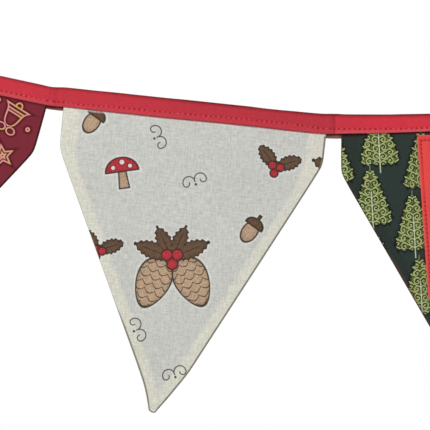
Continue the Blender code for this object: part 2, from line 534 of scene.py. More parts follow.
def uneven_threads(cloth, width, length, strength):
    """Streaks in both directions, about nought."""
    return (cloth.noise(width, length) + cloth.noise(length, width) - 1.0) * strength


def weave(cloth, unevenness):
    """(height in millimetres, brightness about 1) of plain-woven cotton."""
    rows = (cloth.u * (math.pi / THREAD_STEP)).sine()
    columns = (cloth.v * (math.pi / THREAD_STEP)).sine()
    streaks = uneven_threads(cloth, *SLUBS) + uneven_threads(cloth, *FLECKS)
    blotches = (cloth.noise(BLOTCH_WIDTH, BLOTCH_LENGTH) - 0.5) * BLOTCH_STRENGTH
    height = abs(rows * columns) * THREAD_HEIGHT + streaks * STREAK_HEIGHT
    return height, streaks * unevenness + blotches + 1.0


print("the weave has", round(10 / THREAD_STEP), "threads in a centimetre")

# %% [markdown]
# ## Where two layers meet
#
# A turned seam shows as a fine darker line at the very edge: partly the seam itself and partly
# painted shade, wider on the side that is turned from the light. The allowance folded inside makes
# a firmer band beside it, which on pale cloth is also lighter. Close under the tape, pale cloth
# gets a painted glow, lighter and warmer, and dark cloth gets painted shadow. All of these could be
# painted on an image, but masks that follow the distances kept by the mesh stay sharp at any size.

# %% Seams
SEAM_SOFT, BAND_SOFT = 0.7, 3.0
BAND_NOISE, BAND_RAGGED = 2.5, 2.0
MIDDLE_SOFT = 30.0  # the width over which the left line's look becomes the right one's
# The left line can be wider towards the point: (height, softness) where that starts, and where
# half of it ends.
WIDER_BELOW, HALF_BELOW = (-138.0, 24.0), (-194.0, 12.0)


def seam_and_shade_line(cloth, left, right, point=0.0):
    """Mask of the line along the seam, partly painted shade: its width at each side, and what the
    left one gains towards the point."""
    gain = cloth.v.below(*WIDER_BELOW) - cloth.v.below(*HALF_BELOW) * 0.5
    left_width = gain * point + left
    on_right = (-cloth.u).below(0.0, MIDDLE_SOFT)
    width = left_width + (right - left_width) * on_right
    return (cloth.note("seam") - width).below(0.0, SEAM_SOFT)


def allowance_band(cloth):
    """Mask of the band beside the seam. Its inner edge is a little ragged."""
    ragged = cloth.note("band") + (cloth.noise(BAND_NOISE, BAND_NOISE) - 0.5) * BAND_RAGGED
    return ragged.below(0.0, BAND_SOFT)


def under_tape(cloth):
    """Mask of the cloth close under the tape's hem, for painted shadow and glow."""
    return cloth.note("line").below(1.0, 1.4)


print("a seam's line fades over", SEAM_SOFT, "mm, and its allowance over", BAND_SOFT, "mm")

# %% [markdown]
# ## Repeating a motif
#
# A print repeats in two directions that need not be square to each other: on most cottons each
# column stands half a step lower than the last, which printers call a half drop. Two vectors,
# one to the next copy on the right and one to the next copy below, say all of that. Wrapping
# the cloth's coordinates in them gives every copy for the price of one, and needs no image.

# %% Repeat


def step_area(over, under):
    """The area of one cell of a print, less than nought when its steps lead right and down."""
    return over[0] * under[1] - over[1] * under[0]


def repeat(cloth, over, under, start, turn=0.0):
    """(x, y) from the middle of a copy. over and under lead to the next ones."""
    right, up = cloth.u - start[0], cloth.v - start[1]
    size = step_area(over, under)
    sideways = ((right * under[1] - up * under[0]) / size).wrap(1.0)
    down = ((up * over[0] - right * over[1]) / size).wrap(1.0)
    x = sideways * over[0] + down * under[0]
    y = sideways * over[1] + down * under[1]
    return cloth.turned(x, y, turn)


print("steps of 40 mm and 30 mm give a cell of", -step_area((40.0, 0.0), (0.0, -30.0)), "mm2")

# %% [markdown]
# ## Leaves, cones and berries
#
# The cream pennant is printed with woodland things in tan, brown and red under a dark pen line.
# A printer separates such a drawing into one screen for each colour. Every motif here does
# the same and returns (tan, brown, red, pen): three fills and the lines, each given by distance
# in millimetres, less than nought inside. A motif that is the same on both sides is drawn once,
# from the distance to its middle line.

# %% Leaves, cones and berries
CONE_WIDTH, CONE_LENGTH = 8.8, 13.6
SCALE_WIDTH, SCALE_STEP, SCALE_CURVE = 5.6, 3.7, 2.0
LOW_LEAF, HIGH_LEAF, SPRIG_LEAF = (21.0, 8.4), (18.0, 7.4), (17.0, 8.4)  # (length, width)
SPRAY_BERRY, SPRIG_BERRY = 2.9, 2.6
TOOTH_TURN, TOOTH_HEIGHT = 2.3, 0.4  # radians for each millimetre, and millimetres


def leaf(cloth, across, along, long, wide):
    """A pointed leaf that grows up from the middle, with a toothed edge."""
    radius = (long**2 / 4 + wide**2 / 4) / wide
    edge = cloth.length(abs(across) + (radius - wide / 2), along - long / 2) - radius
    return edge + (along * TOOTH_TURN).sine() * TOOTH_HEIGHT


def vein(across, along, long):
    return most(abs(across) + 0.15, abs(along - long * 0.45) - long * 0.3)


def pine_cone(cloth, x, y):
    """(body, distance from the edges of its scales), with its tip down."""
    belly = y * 0.16 + CONE_WIDTH
    body = (cloth.length(x / belly, y / CONE_LENGTH) - 1.0) * CONE_WIDTH
    swing = x * (math.pi / SCALE_WIDTH)
    odd = y + abs(swing.sine()) * SCALE_CURVE
    even = y + abs(swing.cosine()) * SCALE_CURVE - SCALE_STEP
    return body, least(abs(odd.wrap(2 * SCALE_STEP)), abs(even.wrap(2 * SCALE_STEP)))


def cone_spray(cloth, x, y):
    """Two cones that hang below four leaves and three berries."""
    side = abs(x)
    cones, scales = pine_cone(cloth, *cloth.turned(side - 10.6, y + 6.0, 24.0))
    low, high = (cloth.turned(side, y - 7.0, turn) for turn in (-68.0, -25.0))
    leaves = least(leaf(cloth, *low, *LOW_LEAF), leaf(cloth, *high, *HIGH_LEAF))
    berries = least(cloth.length(side - 2.7, y - 8.4), cloth.length(x, y - 3.6)) - SPRAY_BERRY
    pen = least(
        most(abs(cones), -leaves, -berries),
        most(scales + 0.1, cones, -leaves, -berries),
        most(abs(leaves), -berries),
        most(least(vein(*low, LOW_LEAF[0]), vein(*high, HIGH_LEAF[0])), -berries),
        abs(berries),
    )
    return cones, leaves, berries, pen


def berry_sprig(cloth, x, y):
    """Three berries between two leaves."""
    side = abs(x)
    stalk = cloth.turned(side, y, -55.0)
    leaves = leaf(cloth, *stalk, *SPRIG_LEAF)
    berries = least(cloth.length(side - 2.6, y - 0.4), cloth.length(x, y + 4.1)) - SPRIG_BERRY
    pen = least(abs(berries), most(least(abs(leaves), vein(*stalk, SPRIG_LEAF[0])), -berries))
    return None, leaves, berries, pen


print("a cone has about", round(2 * CONE_LENGTH / SCALE_STEP), "rows of scales")

# %% [markdown]
# ## Toadstool, acorn and pen curls
#
# Small fillers keep a print from looking like rows of one picture. Each could be an image on a
# decal, but two or three ellipses, bars and rings stay sharp and weigh nothing. Where one shape
# hides another, the hidden one's line is cut by it, as a printer's key line is.

# %% Toadstool, acorn and pen curls


def toadstool(cloth, x, y):
    dome = (cloth.length(x / 10.5, y / 9.0) - 1.0) * 9.0
    cap = most(dome, -y)
    stem = most(abs(x) + y * 0.09 - 2.3, abs(y + 5.0) - 5.6)
    spots = least(cloth.length(x - 0.6, y - 5.9) - 1.5, cloth.length(abs(x) - 5.4, y - 3.0) - 1.2)
    return stem, None, most(cap, -spots), least(abs(cap), most(abs(stem), -cap))


def acorn(cloth, x, y):
    nut = (cloth.length(x / 4.6, (y + 2.4) / 6.9) - 1.0) * 4.6
    cup = most((cloth.length(x / 5.7, (y - 2.2) / 4.3) - 1.0) * 4.4, 1.4 - y)
    cup = least(cup, most(abs(x) - 0.8, abs(y - 7.2) - 2.0))
    return nut, cup, None, least(abs(cup), most(abs(nut), -cup))


def flourish(cloth, x, y):
    """Two pen curls, back to back."""
    side = abs(x)
    arch = most(abs(cloth.length(side - 4.2, y) - 4.2), -y - 0.6)
    tail = most(abs(cloth.length(side - 6.2, y + 0.4) - 2.2), y + 0.2, 4.0 - side)
    dot = cloth.length(x, y + 2.6) - 0.5
    return None, None, None, least(arch, tail, dot) + 0.1


# (motif, its place across and up from the middle of the fold, its turn, its size)
CREAM_MOTIFS = (
    (cone_spray, (-4.0, -108.0), 7.0, 1.2),
    (toadstool, (-42.0, -49.0), 14.0, 1.0),
    (acorn, (43.0, -76.0), -30.0, 1.05),
    (berry_sprig, (54.0, -36.0), -12.0, 1.0),
    (flourish, (4.0, -50.0), 24.0, 0.9),
    (flourish, (-22.0, -25.0), -60.0, 0.9),
)
print("motifs in each cell of the cream print:", len(CREAM_MOTIFS))

# %% [markdown]
# ## Cream print
#
# A print goes on cloth one screen at a time, lights first and the dark key line last. The nodes
# do the same: a pale halo where the screens don't quite meet, flat fills that darken towards
# their edges and are dabbed rather than even, then the pen line over everything. So each colour
# is laid over the last one by a list of (colour, mask), from the bottom layer up.

# %% Cream cotton
CREAM, CREAM_BAND, CREAM_SEAM_SHADE = colour(208, 208, 203), colour(222, 221, 207), colour(132, 128, 112)
# The glow is painted light close under the tape.
PAINTED_GLOW, HALO, PEN = colour(240, 224, 216), colour(230, 230, 225), colour(58, 44, 38)
FILLS = (colour(186, 158, 130), colour(104, 80, 62), colour(184, 56, 64))
PEN_WIDTH = 0.9
CREAM_OVER, CREAM_UNDER = (106.0, -58.0), (0.0, -122.0)
CREAM_UNEVENNESS = 0.24
DAB_WIDTH, DAB_HEIGHT, DAB_STRENGTH = 1.1, 1.6, 0.9
EDGE_DARK = 0.25  # how dark a fill is at its edge
LIGHTENING, LIGHTEST = 0.12, 0.3  # what it gains for each millimetre inwards, and at most


def cream_screens(cloth):
    """The tan, brown, red and pen screens of the whole print."""
    motifs = []
    for draw, place, turn, size in CREAM_MOTIFS:
        x, y = repeat(cloth, CREAM_OVER, CREAM_UNDER, place, turn)
        screens = draw(cloth, x / size, y / size)
        motifs.append([screen and screen * size for screen in screens])
    return [least(*screen) for screen in zip(*motifs)]


def cream_cotton():
    cloth = Cloth("cream_cotton")
    height, brightness = weave(cloth, CREAM_UNEVENNESS)
    *fills, pen = cream_screens(cloth)
    every = least(*fills)
    shade = cloth.layers(
        CREAM,
        (CREAM_BAND, allowance_band(cloth)),
        (HALO, every.below(1.5, 0.8) * 0.5),
        *((dye, fill.below(0.0)) for dye, fill in zip(FILLS, fills)),
        (PEN, pen.below(PEN_WIDTH / 2, 0.3) * 0.92),
        # The seam's line: the seam itself, with painted shade.
        (CREAM_SEAM_SHADE, seam_and_shade_line(cloth, 0.2, 1.12, 0.95) * 0.95),
        # Painted glow on the pale cloth close under the tape.
        (PAINTED_GLOW, under_tape(cloth) * 0.7),
    )
    dabs = (cloth.noise(DAB_WIDTH, DAB_HEIGHT) - 0.5) * DAB_STRENGTH
    modelling = most(every * LIGHTENING, -LIGHTEST) * -1.0 - EDGE_DARK
    toned = (dabs + modelling) * every.below(0.0) + 1.0
    return cloth.woven(shade, height, brightness * toned)


print("cells on the cream pennant, about:",
      round(HALF_WIDTH * PENNANTS[1].point[1] / -step_area(CREAM_OVER, CREAM_UNDER), 1))

# %% [markdown]
# ## Line-drawn motifs
#
# The left pennant's print is line work only: bells, round baubles and stars. An outline is the
# absolute value of a distance, so each shape is its own fill turned into a line, and a hoop or
# a zigzag inside it is a line cut by that fill.

# %% Line-drawn motifs


def bell(cloth, x, y):
    """Distance from the lines of a bell with a clapper and a bow."""
    side, rise = abs(x), y + 7.0
    dome = (1.0 - (rise / 13.0).math("POWER", 4.0)).math("SQRT") * 4.6
    body = most(side - dome - (rise * -0.42).math("EXPONENT") * 3.4, -rise, rise - 13.0)
    hoop = most(abs(abs(rise - 3.3) - 0.9), body)
    clapper = most(abs(cloth.length(x, rise + 1.2) - 1.9), -body)
    bow = most(abs(cloth.length(side - 3.4, (y - 8.2) * 1.25) - 2.7), -body)
    return least(abs(body), hoop, clapper, bow)


def bauble(cloth, x, y):
    """Distance from the lines of a round bauble with a cap, a hook and two bands."""
    ball = cloth.length(x, y) - 7.0
    bands = most(abs(abs(y) - 2.4), ball)
    zigzag = most(abs(y - ((x + 50.0).math("PINGPONG", 1.7) - 0.85) * 1.5), ball)
    cap = abs(most(abs(x) - 1.7, abs(y - 8.0) - 1.0))
    hook = abs(cloth.length(x, y - 10.4) - 1.3)
    return least(abs(ball), bands, zigzag, cap, hook)


def star(cloth, x, y):
    """Distance from the two outlines of a five-pointed star."""
    outer, inner = 6.6, 2.9
    half_sector = math.tau / 10
    angle = abs(x.math("ARCTAN2", y).wrap(2 * half_sector))
    radius = cloth.length(x, y)
    along, across = radius * angle.cosine(), radius * angle.sine()
    run = Vector((inner * math.cos(half_sector) - outer, inner * math.sin(half_sector)))
    run.normalize()
    edge = (along - outer) * run.y - across * run.x
    return least(abs(edge), abs(edge + 1.7))


# (motif, its place across and up from the middle of the fold, its turn)
BURGUNDY_MOTIFS = (
    (bell, (63.0, -24.0), 160.0),
    (bauble, (43.0, -31.0), -20.0),
    (star, (62.0, -49.0), 20.0),
)
print("motifs in each cell of the burgundy print:", len(BURGUNDY_MOTIFS), "and small rings")

# %% [markdown]
# ## Burgundy print
#
# This print is a metallic pink-gold ink on burgundy. It isn't shiny enough in soft light to need
# a metal shader, so its glint is painted: a yellower colour in soft blots. The ink spreads a darker
# rim into the cloth, so a wide dark line is laid first and the ink over it.

# %% Burgundy cotton
BURGUNDY, BURGUNDY_DARK, BURGUNDY_SEAM_SHADE = colour(125, 40, 54), colour(84, 8, 18), colour(48, 12, 12)
# Pink-gold ink, its painted glint, and painted shadow for under the tape.
PINK_GOLD, GOLD_GLINT_PAINT, RED_PAINTED_SHADOW = colour(226, 156, 148), colour(214, 172, 108), colour(112, 6, 16)
BURGUNDY_OVER, BURGUNDY_UNDER = (44.0, -29.0), (0.0, -58.0)
RING_OVER, RING_UNDER = (22.0, -14.5), (0.0, -29.0)
RING_PLACE, RING_RADIUS = (52.0, -44.0), 1.0
INK_WIDTH, RIM_WIDTH = 0.95, 1.9
GLINT_SIZE = 9.0
DARK_UNEVENNESS = 0.16


def burgundy_lines(cloth):
    """Distance from every line of the print."""
    lines = [draw(cloth, *repeat(cloth, BURGUNDY_OVER, BURGUNDY_UNDER, place, turn))
             for draw, place, turn in BURGUNDY_MOTIFS]
    rings = cloth.length(*repeat(cloth, RING_OVER, RING_UNDER, RING_PLACE)) - RING_RADIUS
    return least(*lines, abs(rings))


def burgundy_cotton():
    cloth = Cloth("burgundy_cotton")
    height, brightness = weave(cloth, DARK_UNEVENNESS)
    lines = burgundy_lines(cloth)
    glint = cloth.noise(GLINT_SIZE, GLINT_SIZE).below(0.46, 0.12)
    shade = cloth.layers(
        BURGUNDY,
        (BURGUNDY_DARK, lines.below(RIM_WIDTH, 1.8) * 0.8),
        # The ink, with a painted glint in soft blots.
        (cloth.mix(PINK_GOLD, GOLD_GLINT_PAINT, glint), lines.below(INK_WIDTH / 2, 0.35)),
        # The seam's line: the seam itself, with painted shade.
        (BURGUNDY_SEAM_SHADE, seam_and_shade_line(cloth, 0.4, 1.15) * 0.9),
        # Painted shadow close under the tape.
        (RED_PAINTED_SHADOW, under_tape(cloth) * 0.6),
    )
    return cloth.woven(shade, height, brightness)


print("cells on the burgundy pennant, about:",
      round(HALF_WIDTH * PENNANTS[0].point[1] / -step_area(BURGUNDY_OVER, BURGUNDY_UNDER), 1))

# %% [markdown]
# ## Where the patch lies
#
# A patch is sewn on the right pennant, a little askew. Both its own mesh and the shade that it
# throws on the cloth beside it start from the same few sizes, so these come first. The shade
# could be left to the lights alone, but cloth this close to a bright red edge also takes on its
# colour.

# %% Patch sizes
PATCH_WIDTH, PATCH_HEIGHT, PATCH_TOP = 71.0, 104.0, 13.2
PATCH_ASIDE = -0.5  # its top middle, right of the pennant's middle line
PATCH_LEAN_ANGLE = 2.7  # degrees
PATCH_LEAN = math.tan(math.radians(PATCH_LEAN_ANGLE))


def beside_patch(cloth):
    """Mask of the shaded cloth close to the patch's edges."""
    down = -cloth.v - PATCH_TOP
    x = cloth.u - down * PATCH_LEAN - PATCH_ASIDE
    outside = most(abs(x) - PATCH_WIDTH / 2, abs(down - PATCH_HEIGHT / 2) - PATCH_HEIGHT / 2)
    return outside.below(1.0, 2.0)


print("the patch's foot lies", round(PATCH_HEIGHT * PATCH_LEAN, 1), "mm further right than its top")

# %% [markdown]
# ## Which tree is nearest
#
# The right pennant is covered with fir trees that stand too close to be four separate prints:
# the boughs of one reach in between those of the next. So one cell of the repeat holds four
# trees, and each spot of cloth is given the coordinates of the tree it is nearest to. The tree
# itself is then drawn once.

# %% Nearest tree
TREE_HEIGHT, TREE_HALF, TREE_TOP_HALF = 34.0, 12.6, 1.7
TREE_OVER, TREE_UNDER = (55.9, -4.4), (-2.6, -79.6)
TREE_PLACES = ((-33.1, -27.9), (-39.3, -67.0), (-60.2, -13.0), (-65.4, -50.7))
TREE_TURN = 2.1


def tree_reach(x, y):
    """Roughly how far a spot is outside a tree."""
    rise = y + TREE_HEIGHT / 2
    crown = most(abs(x) + (rise / TREE_HEIGHT - 1.0) * TREE_HALF, -rise)
    return least(crown, most(abs(x) - 1.0, abs(rise + 3.0) - 3.0))


def nearest_tree(cloth):
    """(x, y) from the middle of the nearest tree."""
    best = None
    for start in TREE_PLACES:
        x, y = repeat(cloth, TREE_OVER, TREE_UNDER, start, TREE_TURN)
        reach = tree_reach(x, y)
        if best is None:
            best, best_x, best_y = reach, x, y
            continue
        nearer = reach.math("LESS_THAN", best)
        best, best_x = least(best, reach), best_x + (x - best_x) * nearer
        best_y = best_y + (y - best_y) * nearer
    return best_x, best_y


print("one fir tree for every", round(-step_area(TREE_OVER, TREE_UNDER) / len(TREE_PLACES)), "mm2")

# %% [markdown]
# ## A lacy fir tree
#
# A tree is a narrow triangle whose sides carry a small point at the end of each bough and whose
# foot is scalloped. Its boughs rise from the trunk, and each gap between them holds a curl: a
# spiral, which is a radius that grows with its angle. Each bough could be drawn by itself, but
# wrapping the height into tiers draws them all with one line.

# %% Fir tree
TIER, BOUGH_RISE, BOUGH_POINT, POINT_HALF = 5.2, 0.55, 1.3, 1.3
FOOT_HEIGHT, CROWN_HEIGHT = 3.2, 3.0  # the boughs draw in below the one and in the other
FOOT_SCALLOP = 1.5
CURL_STEP, CURL_PITCH, CURL_RADIUS = 4.5, 1.72, 2.3
HAND_SIZE, HAND_WOBBLE = 5.0, 2.0  # how unevenly the tree is drawn


def fir_tree(cloth, x, y):
    """(body, distance from its boughs and curls, trunk, leader)."""
    wobble = (cloth.noise(HAND_SIZE, HAND_SIZE) - 0.5) * HAND_WOBBLE
    side, rise = abs(x) + wobble, y + TREE_HEIGHT / 2
    tier = rise + wobble
    taper = (1.0 - rise / TREE_HEIGHT) * (TREE_HALF - TREE_TOP_HALF) + TREE_TOP_HALF
    bough = (tier - side * BOUGH_RISE).wrap(TIER)
    point = most(1.0 - abs(bough) / POINT_HALF, 0.0) * BOUGH_POINT
    foot = abs((side * (math.pi / CURL_STEP)).sine()) * -FOOT_SCALLOP
    drawn_in = most(FOOT_HEIGHT - rise, (rise - TREE_HEIGHT + CROWN_HEIGHT) * 0.9, 0.0) * 0.7
    body = most(side - taper - point + drawn_in, foot - rise, rise - TREE_HEIGHT)
    across = (side - CURL_STEP / 2).wrap(CURL_STEP)
    up = (tier - (side - across) * BOUGH_RISE - TIER / 2).wrap(TIER)
    radius, turn = cloth.length(across, up), up.math("ARCTAN2", across) / math.tau
    curl = most(abs((radius - turn * CURL_PITCH).wrap(CURL_PITCH)), radius - CURL_RADIUS)
    leader = most(abs(x) - 0.45, abs(y - TREE_HEIGHT / 2) - 2.0)
    trunk = most(abs(x) - 0.35, abs(y + 10.5) - 13.0)
    return body, least(abs(bough), curl), trunk, leader


print("a fir tree has", int(TREE_HEIGHT / TIER), "tiers of boughs")

# %% [markdown]
# ## Green print
#
# The trees are three screens on bottle green: mottled needles, pale boughs and curls with a
# yellower tint here and there, and a pale trunk. The ground is darker close round each tree. The
# cloth is in painted shade close under the tape and beside the patch, where it is red, and low on
# the pennant it is browner along its seam. The same list of layers as before keeps all of that in
# the order in which it lies on the cloth.

# %% Green cotton
BOTTLE, BOTTLE_DEEP, GREEN_BAND = colour(44, 57, 52), colour(16, 20, 15), colour(34, 30, 26)
NEEDLE, NEEDLE_DARK = colour(78, 92, 40), colour(32, 44, 18)
BOUGH, BOUGH_YELLOW = colour(182, 194, 130), colour(200, 200, 124)
TRUNK, LEADER = colour(206, 214, 184), colour(112, 128, 108)
# Painted shadow: close under the tape, and beside the patch.
DARK_PAINTED_SHADOW, PATCH_SHADOW = colour(40, 4, 8), colour(72, 26, 16)
SEAM_BROWN, GREEN_SEAM_SHADE = colour(88, 68, 56), colour(70, 40, 32)
NEEDLE_MOTTLE, BOUGH_MOTTLE = 3.0, 6.0
BROWN_SEAM_BELOW, BROWN_SEAM_SOFT = -88.0, 20.0


def green_cotton():
    cloth = Cloth("green_cotton")
    height, brightness = weave(cloth, DARK_UNEVENNESS)
    body, lines, trunk, leader = fir_tree(cloth, *nearest_tree(cloth))
    inside = body.below(0.0, 0.4)
    mottle = cloth.noise(NEEDLE_MOTTLE, NEEDLE_MOTTLE).below(0.5, 0.16) * 0.85
    yellow = cloth.noise(BOUGH_MOTTLE, BOUGH_MOTTLE).below(0.44, 0.1) * 0.45
    brown_low_seam = cloth.note("seam").below(1.4, 2.6) * cloth.v.below(BROWN_SEAM_BELOW, BROWN_SEAM_SOFT) * 0.6
    shade = cloth.layers(
        BOTTLE,
        (GREEN_BAND, allowance_band(cloth) * 0.22),
        (BOTTLE_DEEP, body.below(1.4, 1.6) * 0.9),
        # Painted shadow close under the tape, laid under the trees.
        (DARK_PAINTED_SHADOW, under_tape(cloth)),
        (PATCH_SHADOW, beside_patch(cloth) * 0.6),
        (LEADER, leader.below(0.0, 0.5) * 0.8),
        (cloth.mix(NEEDLE, NEEDLE_DARK, mottle), inside),
        (cloth.mix(BOUGH, BOUGH_YELLOW, yellow), lines.below(0.32, 0.42) * inside),
        (TRUNK, trunk.below(0.0, 0.4) * 0.9),
        # Browner along the seam, low on the pennant.
        (SEAM_BROWN, brown_low_seam),
        # The seam's line: the seam itself, with painted shade.
        (GREEN_SEAM_SHADE, seam_and_shade_line(cloth, 0.6, 0.7) * 0.8),
        (PATCH_SHADOW, beside_patch(cloth) * 0.2),
        # Painted shadow close under the tape, laid over the trees.
        (DARK_PAINTED_SHADOW, under_tape(cloth) * 0.25),
    )
    return cloth.woven(shade, height, brightness)


print("bottle green in linear light:", [round(c, 3) for c in BOTTLE[:3]])

# %% [markdown]
# ## Needle holes
#
# Plain dyed cotton is the hardest to make look real, because nothing hides its evenness. The eye
# finds cloth in the small things, and the first is a row of needle holes that pull the cloth down
# into dots of painted shade, some deeper than others. Holes cut in the mesh would be far finer
# than its faces. A mask drawn from the distance along the line and away from it shows them
# instead.

# %% Needle holes
STITCHES = 200
STITCH_STEP = (TAPE_RIGHT - TAPE_LEFT) / STITCHES
PATCH_STITCH_STEP = 2.8
HOLE_RADIUS, HOLE_SOFT = 0.62, 0.7
HOLE_STRAY = 1.4


def needle_holes(cloth, step):
    """Mask of the holes that a needle left along the line, some of them hardly open."""
    astray = (cloth.noise(5.0, 60.0) - 0.5) * HOLE_STRAY
    hole = cloth.length((cloth.note("along") + astray).wrap(step), cloth.note("line"))
    return hole.below(HOLE_RADIUS, HOLE_SOFT) * cloth.noise(6.0, 40.0).below(0.6, 0.3)


print("holes are", round(STITCH_STEP, 2), "mm apart on the tape and", PATCH_STITCH_STEP,
      "mm on the patch")

# %% [markdown]
# ## Red tape
#
# The tape's cotton is painted duller where it turns from the light, with a painted highlight
# along its hem, painted shade in sharp creases and darker painted shade where the fold turns from
# the light. The mesh says how much painted shade and highlight each point has, because those
# follow the tape's length. The sharp creases are narrower than a face of the mesh, so each is drawn
# here from its place.

# %% Red tape
# Besides the red: a painted highlight and a painted shade.
TAPE_RED, TAPE_HIGHLIGHT_PAINT, TAPE_SHADE_PAINT = colour(219, 54, 69), colour(228, 118, 122), colour(124, 50, 58)
# Painted shade in creases, on the fold and in the needle holes.
CREASE_SHADE_PAINT, FOLD_SHADE_PAINT, HOLE_SHADE_PAINT = colour(128, 12, 32), colour(128, 12, 24), colour(150, 24, 38)
# Sharp creases that cross the tape in the gaps, darkened by painted shade: (place, darkness, half
# its width).
CREASE_LINES = ((-89.2, 0.22, 0.3), (-81.2, 0.16, 0.3), (90.0, 0.5, 0.4))
CREASE_SOFT = 2.0
TAPE_UNEVENNESS = 0.13
TAPE_HOLE_DEPTH = 0.12


def tape_cotton():
    cloth = Cloth("red_tape")
    height, brightness = weave(cloth, TAPE_UNEVENNESS)
    along, fold = cloth.note("along"), cloth.note("seam")
    holes = needle_holes(cloth, STITCH_STEP)
    creases = [(CREASE_SHADE_PAINT, abs(along - place).below(half, CREASE_SOFT) * darkness)
               for place, darkness, half in CREASE_LINES]
    shade = cloth.layers(
        TAPE_RED,
        # Painted highlight along the hem, then painted shade where the tape turns from the light.
        (TAPE_HIGHLIGHT_PAINT, cloth.note("pale")),
        (TAPE_SHADE_PAINT, cloth.note("fade")),
        # Painted shade in the sharp creases.
        *creases,
        # Painted shade where the fold turns from the light.
        (FOLD_SHADE_PAINT, fold.below(0.5, 1.0) * 0.58 + fold.below(1.5, 1.8) * 0.4),
        # Painted shade in the needle holes.
        (HOLE_SHADE_PAINT, holes * 0.95),
    )
    return cloth.woven(shade, height - holes * TAPE_HOLE_DEPTH, brightness)


print("sharp creases on the tape:", len(CREASE_LINES))

# %% [markdown]
# ## Red patch
#
# The patch is a brighter red than the tape. It is a little deeper between its stitches and its
# edge, has a painted highlight along the very edge, where the turned cloth catches the light, and
# is pulled down at each hole, with painted shade there and along its stitches. Its edges are
# distances too, so the tape's way of layering masks serves again.

# %% Red patch
PATCH_RED, PATCH_BORDER = colour(240, 78, 74), colour(226, 64, 72)
# A painted highlight for the turned edge, and painted shade for the stitches and holes.
PATCH_HIGHLIGHT_PAINT, PATCH_SHADE_PAINT = colour(238, 116, 108), colour(160, 22, 24)
PATCH_UNEVENNESS = 0.12
PATCH_HOLE_DEPTH = 0.25


def patch_cotton():
    cloth = Cloth("red_patch")
    height, brightness = weave(cloth, PATCH_UNEVENNESS)
    line = cloth.note("line")
    holes = needle_holes(cloth, PATCH_STITCH_STEP)
    shade = cloth.layers(
        PATCH_RED,
        (PATCH_BORDER, line.below(0.0, 1.5) * 0.5),
        # Painted highlight where the turned edge catches the light.
        (PATCH_HIGHLIGHT_PAINT, cloth.note("seam").below(0.6, 1.0) * 0.4),
        # Painted shade along the groove of the stitches.
        (PATCH_SHADE_PAINT, abs(line).below(0.5, 0.9) * 0.2),
        # Painted shade in each hole.
        (PATCH_SHADE_PAINT, holes * 0.8),
    )
    return cloth.woven(shade, height - holes * PATCH_HOLE_DEPTH, brightness)


print("the holes of the patch dip", PATCH_HOLE_DEPTH, "mm, those of the tape", TAPE_HOLE_DEPTH)

# %% [markdown]
# ## Linings and backs
#
# A maker saves the printed cloth for the front, so the backs are plain cotton in each pennant's
# ground colour. The inside of the tape's back leaf shows in the gaps between the pennants, painted
# dark as the front leaf's shadow, and browner and paler towards its hem. One function dyes every
# plain back.

# %% Linings and backs
# The lining red is painted shade under the front leaf; towards the hem it is browner and paler.
LINING_SHADE_PAINT, LINING_HEM = colour(116, 32, 40), colour(132, 96, 88)
WHITE, BLACK = (1.0, 1.0, 1.0, 1.0), (0.0, 0.0, 0.0, 1.0)
LINING_HEM_LINE, LINING_HEM_SOFT = -4.2, 1.8
BACK_UNEVENNESS = 0.14


def tape_lining():
    """The inner side of the tape, painted dark as the front leaf's shadow, browner and paler
    towards its back hem.
    """
    cloth = Cloth("tape_lining_side")
    height, brightness = weave(cloth, BACK_UNEVENNESS)
    hem = cloth.note("line").below(LINING_HEM_LINE, LINING_HEM_SOFT)
    return cloth.woven(cloth.mix(LINING_SHADE_PAINT, LINING_HEM, hem), height, brightness)


def plain_cotton(name, dye):
    """The unprinted cotton behind a pennant or the patch."""
    cloth = Cloth(name)
    height, brightness = weave(cloth, BACK_UNEVENNESS)
    # darker is the seam's line, partly painted shade.
    paler, darker = allowance_band(cloth) * 0.05, seam_and_shade_line(cloth, 0.5, 0.5) * 0.4
    shade = cloth.layers(dye, (WHITE, paler), (BLACK, darker))
    return cloth.woven(shade, height, brightness)


print("lining in linear light:", [round(c, 3) for c in LINING_SHADE_PAINT[:3]])

# %% [markdown]
# ## One finish for each side
#
# Each sheet of cloth has a face and a back, so it takes two materials. They are all made here,
# once, and kept by name. The count of nodes shows what a print costs: most of it is in the
# motifs.

# %% Make every material
materials = {
    "tape": tape_cotton(),
    "tape_inside": tape_lining(),
    "flag_left": burgundy_cotton(),
    "flag_left_back": plain_cotton("burgundy_backing", BURGUNDY),
    "flag_middle": cream_cotton(),
    "flag_middle_back": plain_cotton("cream_backing", CREAM),
    "flag_right": green_cotton(),
    "flag_right_back": plain_cotton("green_backing", BOTTLE),
    "patch": patch_cotton(),
    "patch_back": plain_cotton("patch_backing", PATCH_RED),
}
print({name: len(made.node_tree.nodes) for name, made in materials.items()})

# %% [markdown]
# ## What a point of cloth knows
#
# A finish draws seams, hems and holes by distance, and only the mesh knows those distances. So
# every point of a sheet carries them as numbers. An image could be baked for each sheet, but
# numbers at the points are lighter, and a shader blends them smoothly over each face. Where a
# number has no meaning on a sheet, it keeps a value that changes nothing.

# %% Spot
FULL_THICKNESS = 1.6
FAR = 99.0
NOTES = ("seam", "band", "line", "along", "fade", "pale")


class Spot(NamedTuple):
    """One point of a sheet: its place in metres, and what the finishes read, in millimetres."""

    world: Vector
    flat: tuple  # across and up, on the flat cloth
    thickness: float
    seam: float = FAR  # distance from the seam or the fold
    band: float = FAR  # distance past the seam allowance's inner edge
    line: float = FAR  # distance from the stitches, or on a pennant from the tape's hem
    along: float = 0.0  # place along that line
    # The next two notes are painted shade, which darkens the cloth, and painted highlight.
    fade: float = 0.0  # how much duller or more shaded the cloth is
    pale: float = 0.0  # how much paler it is


print("each point keeps:", ", ".join(NOTES))

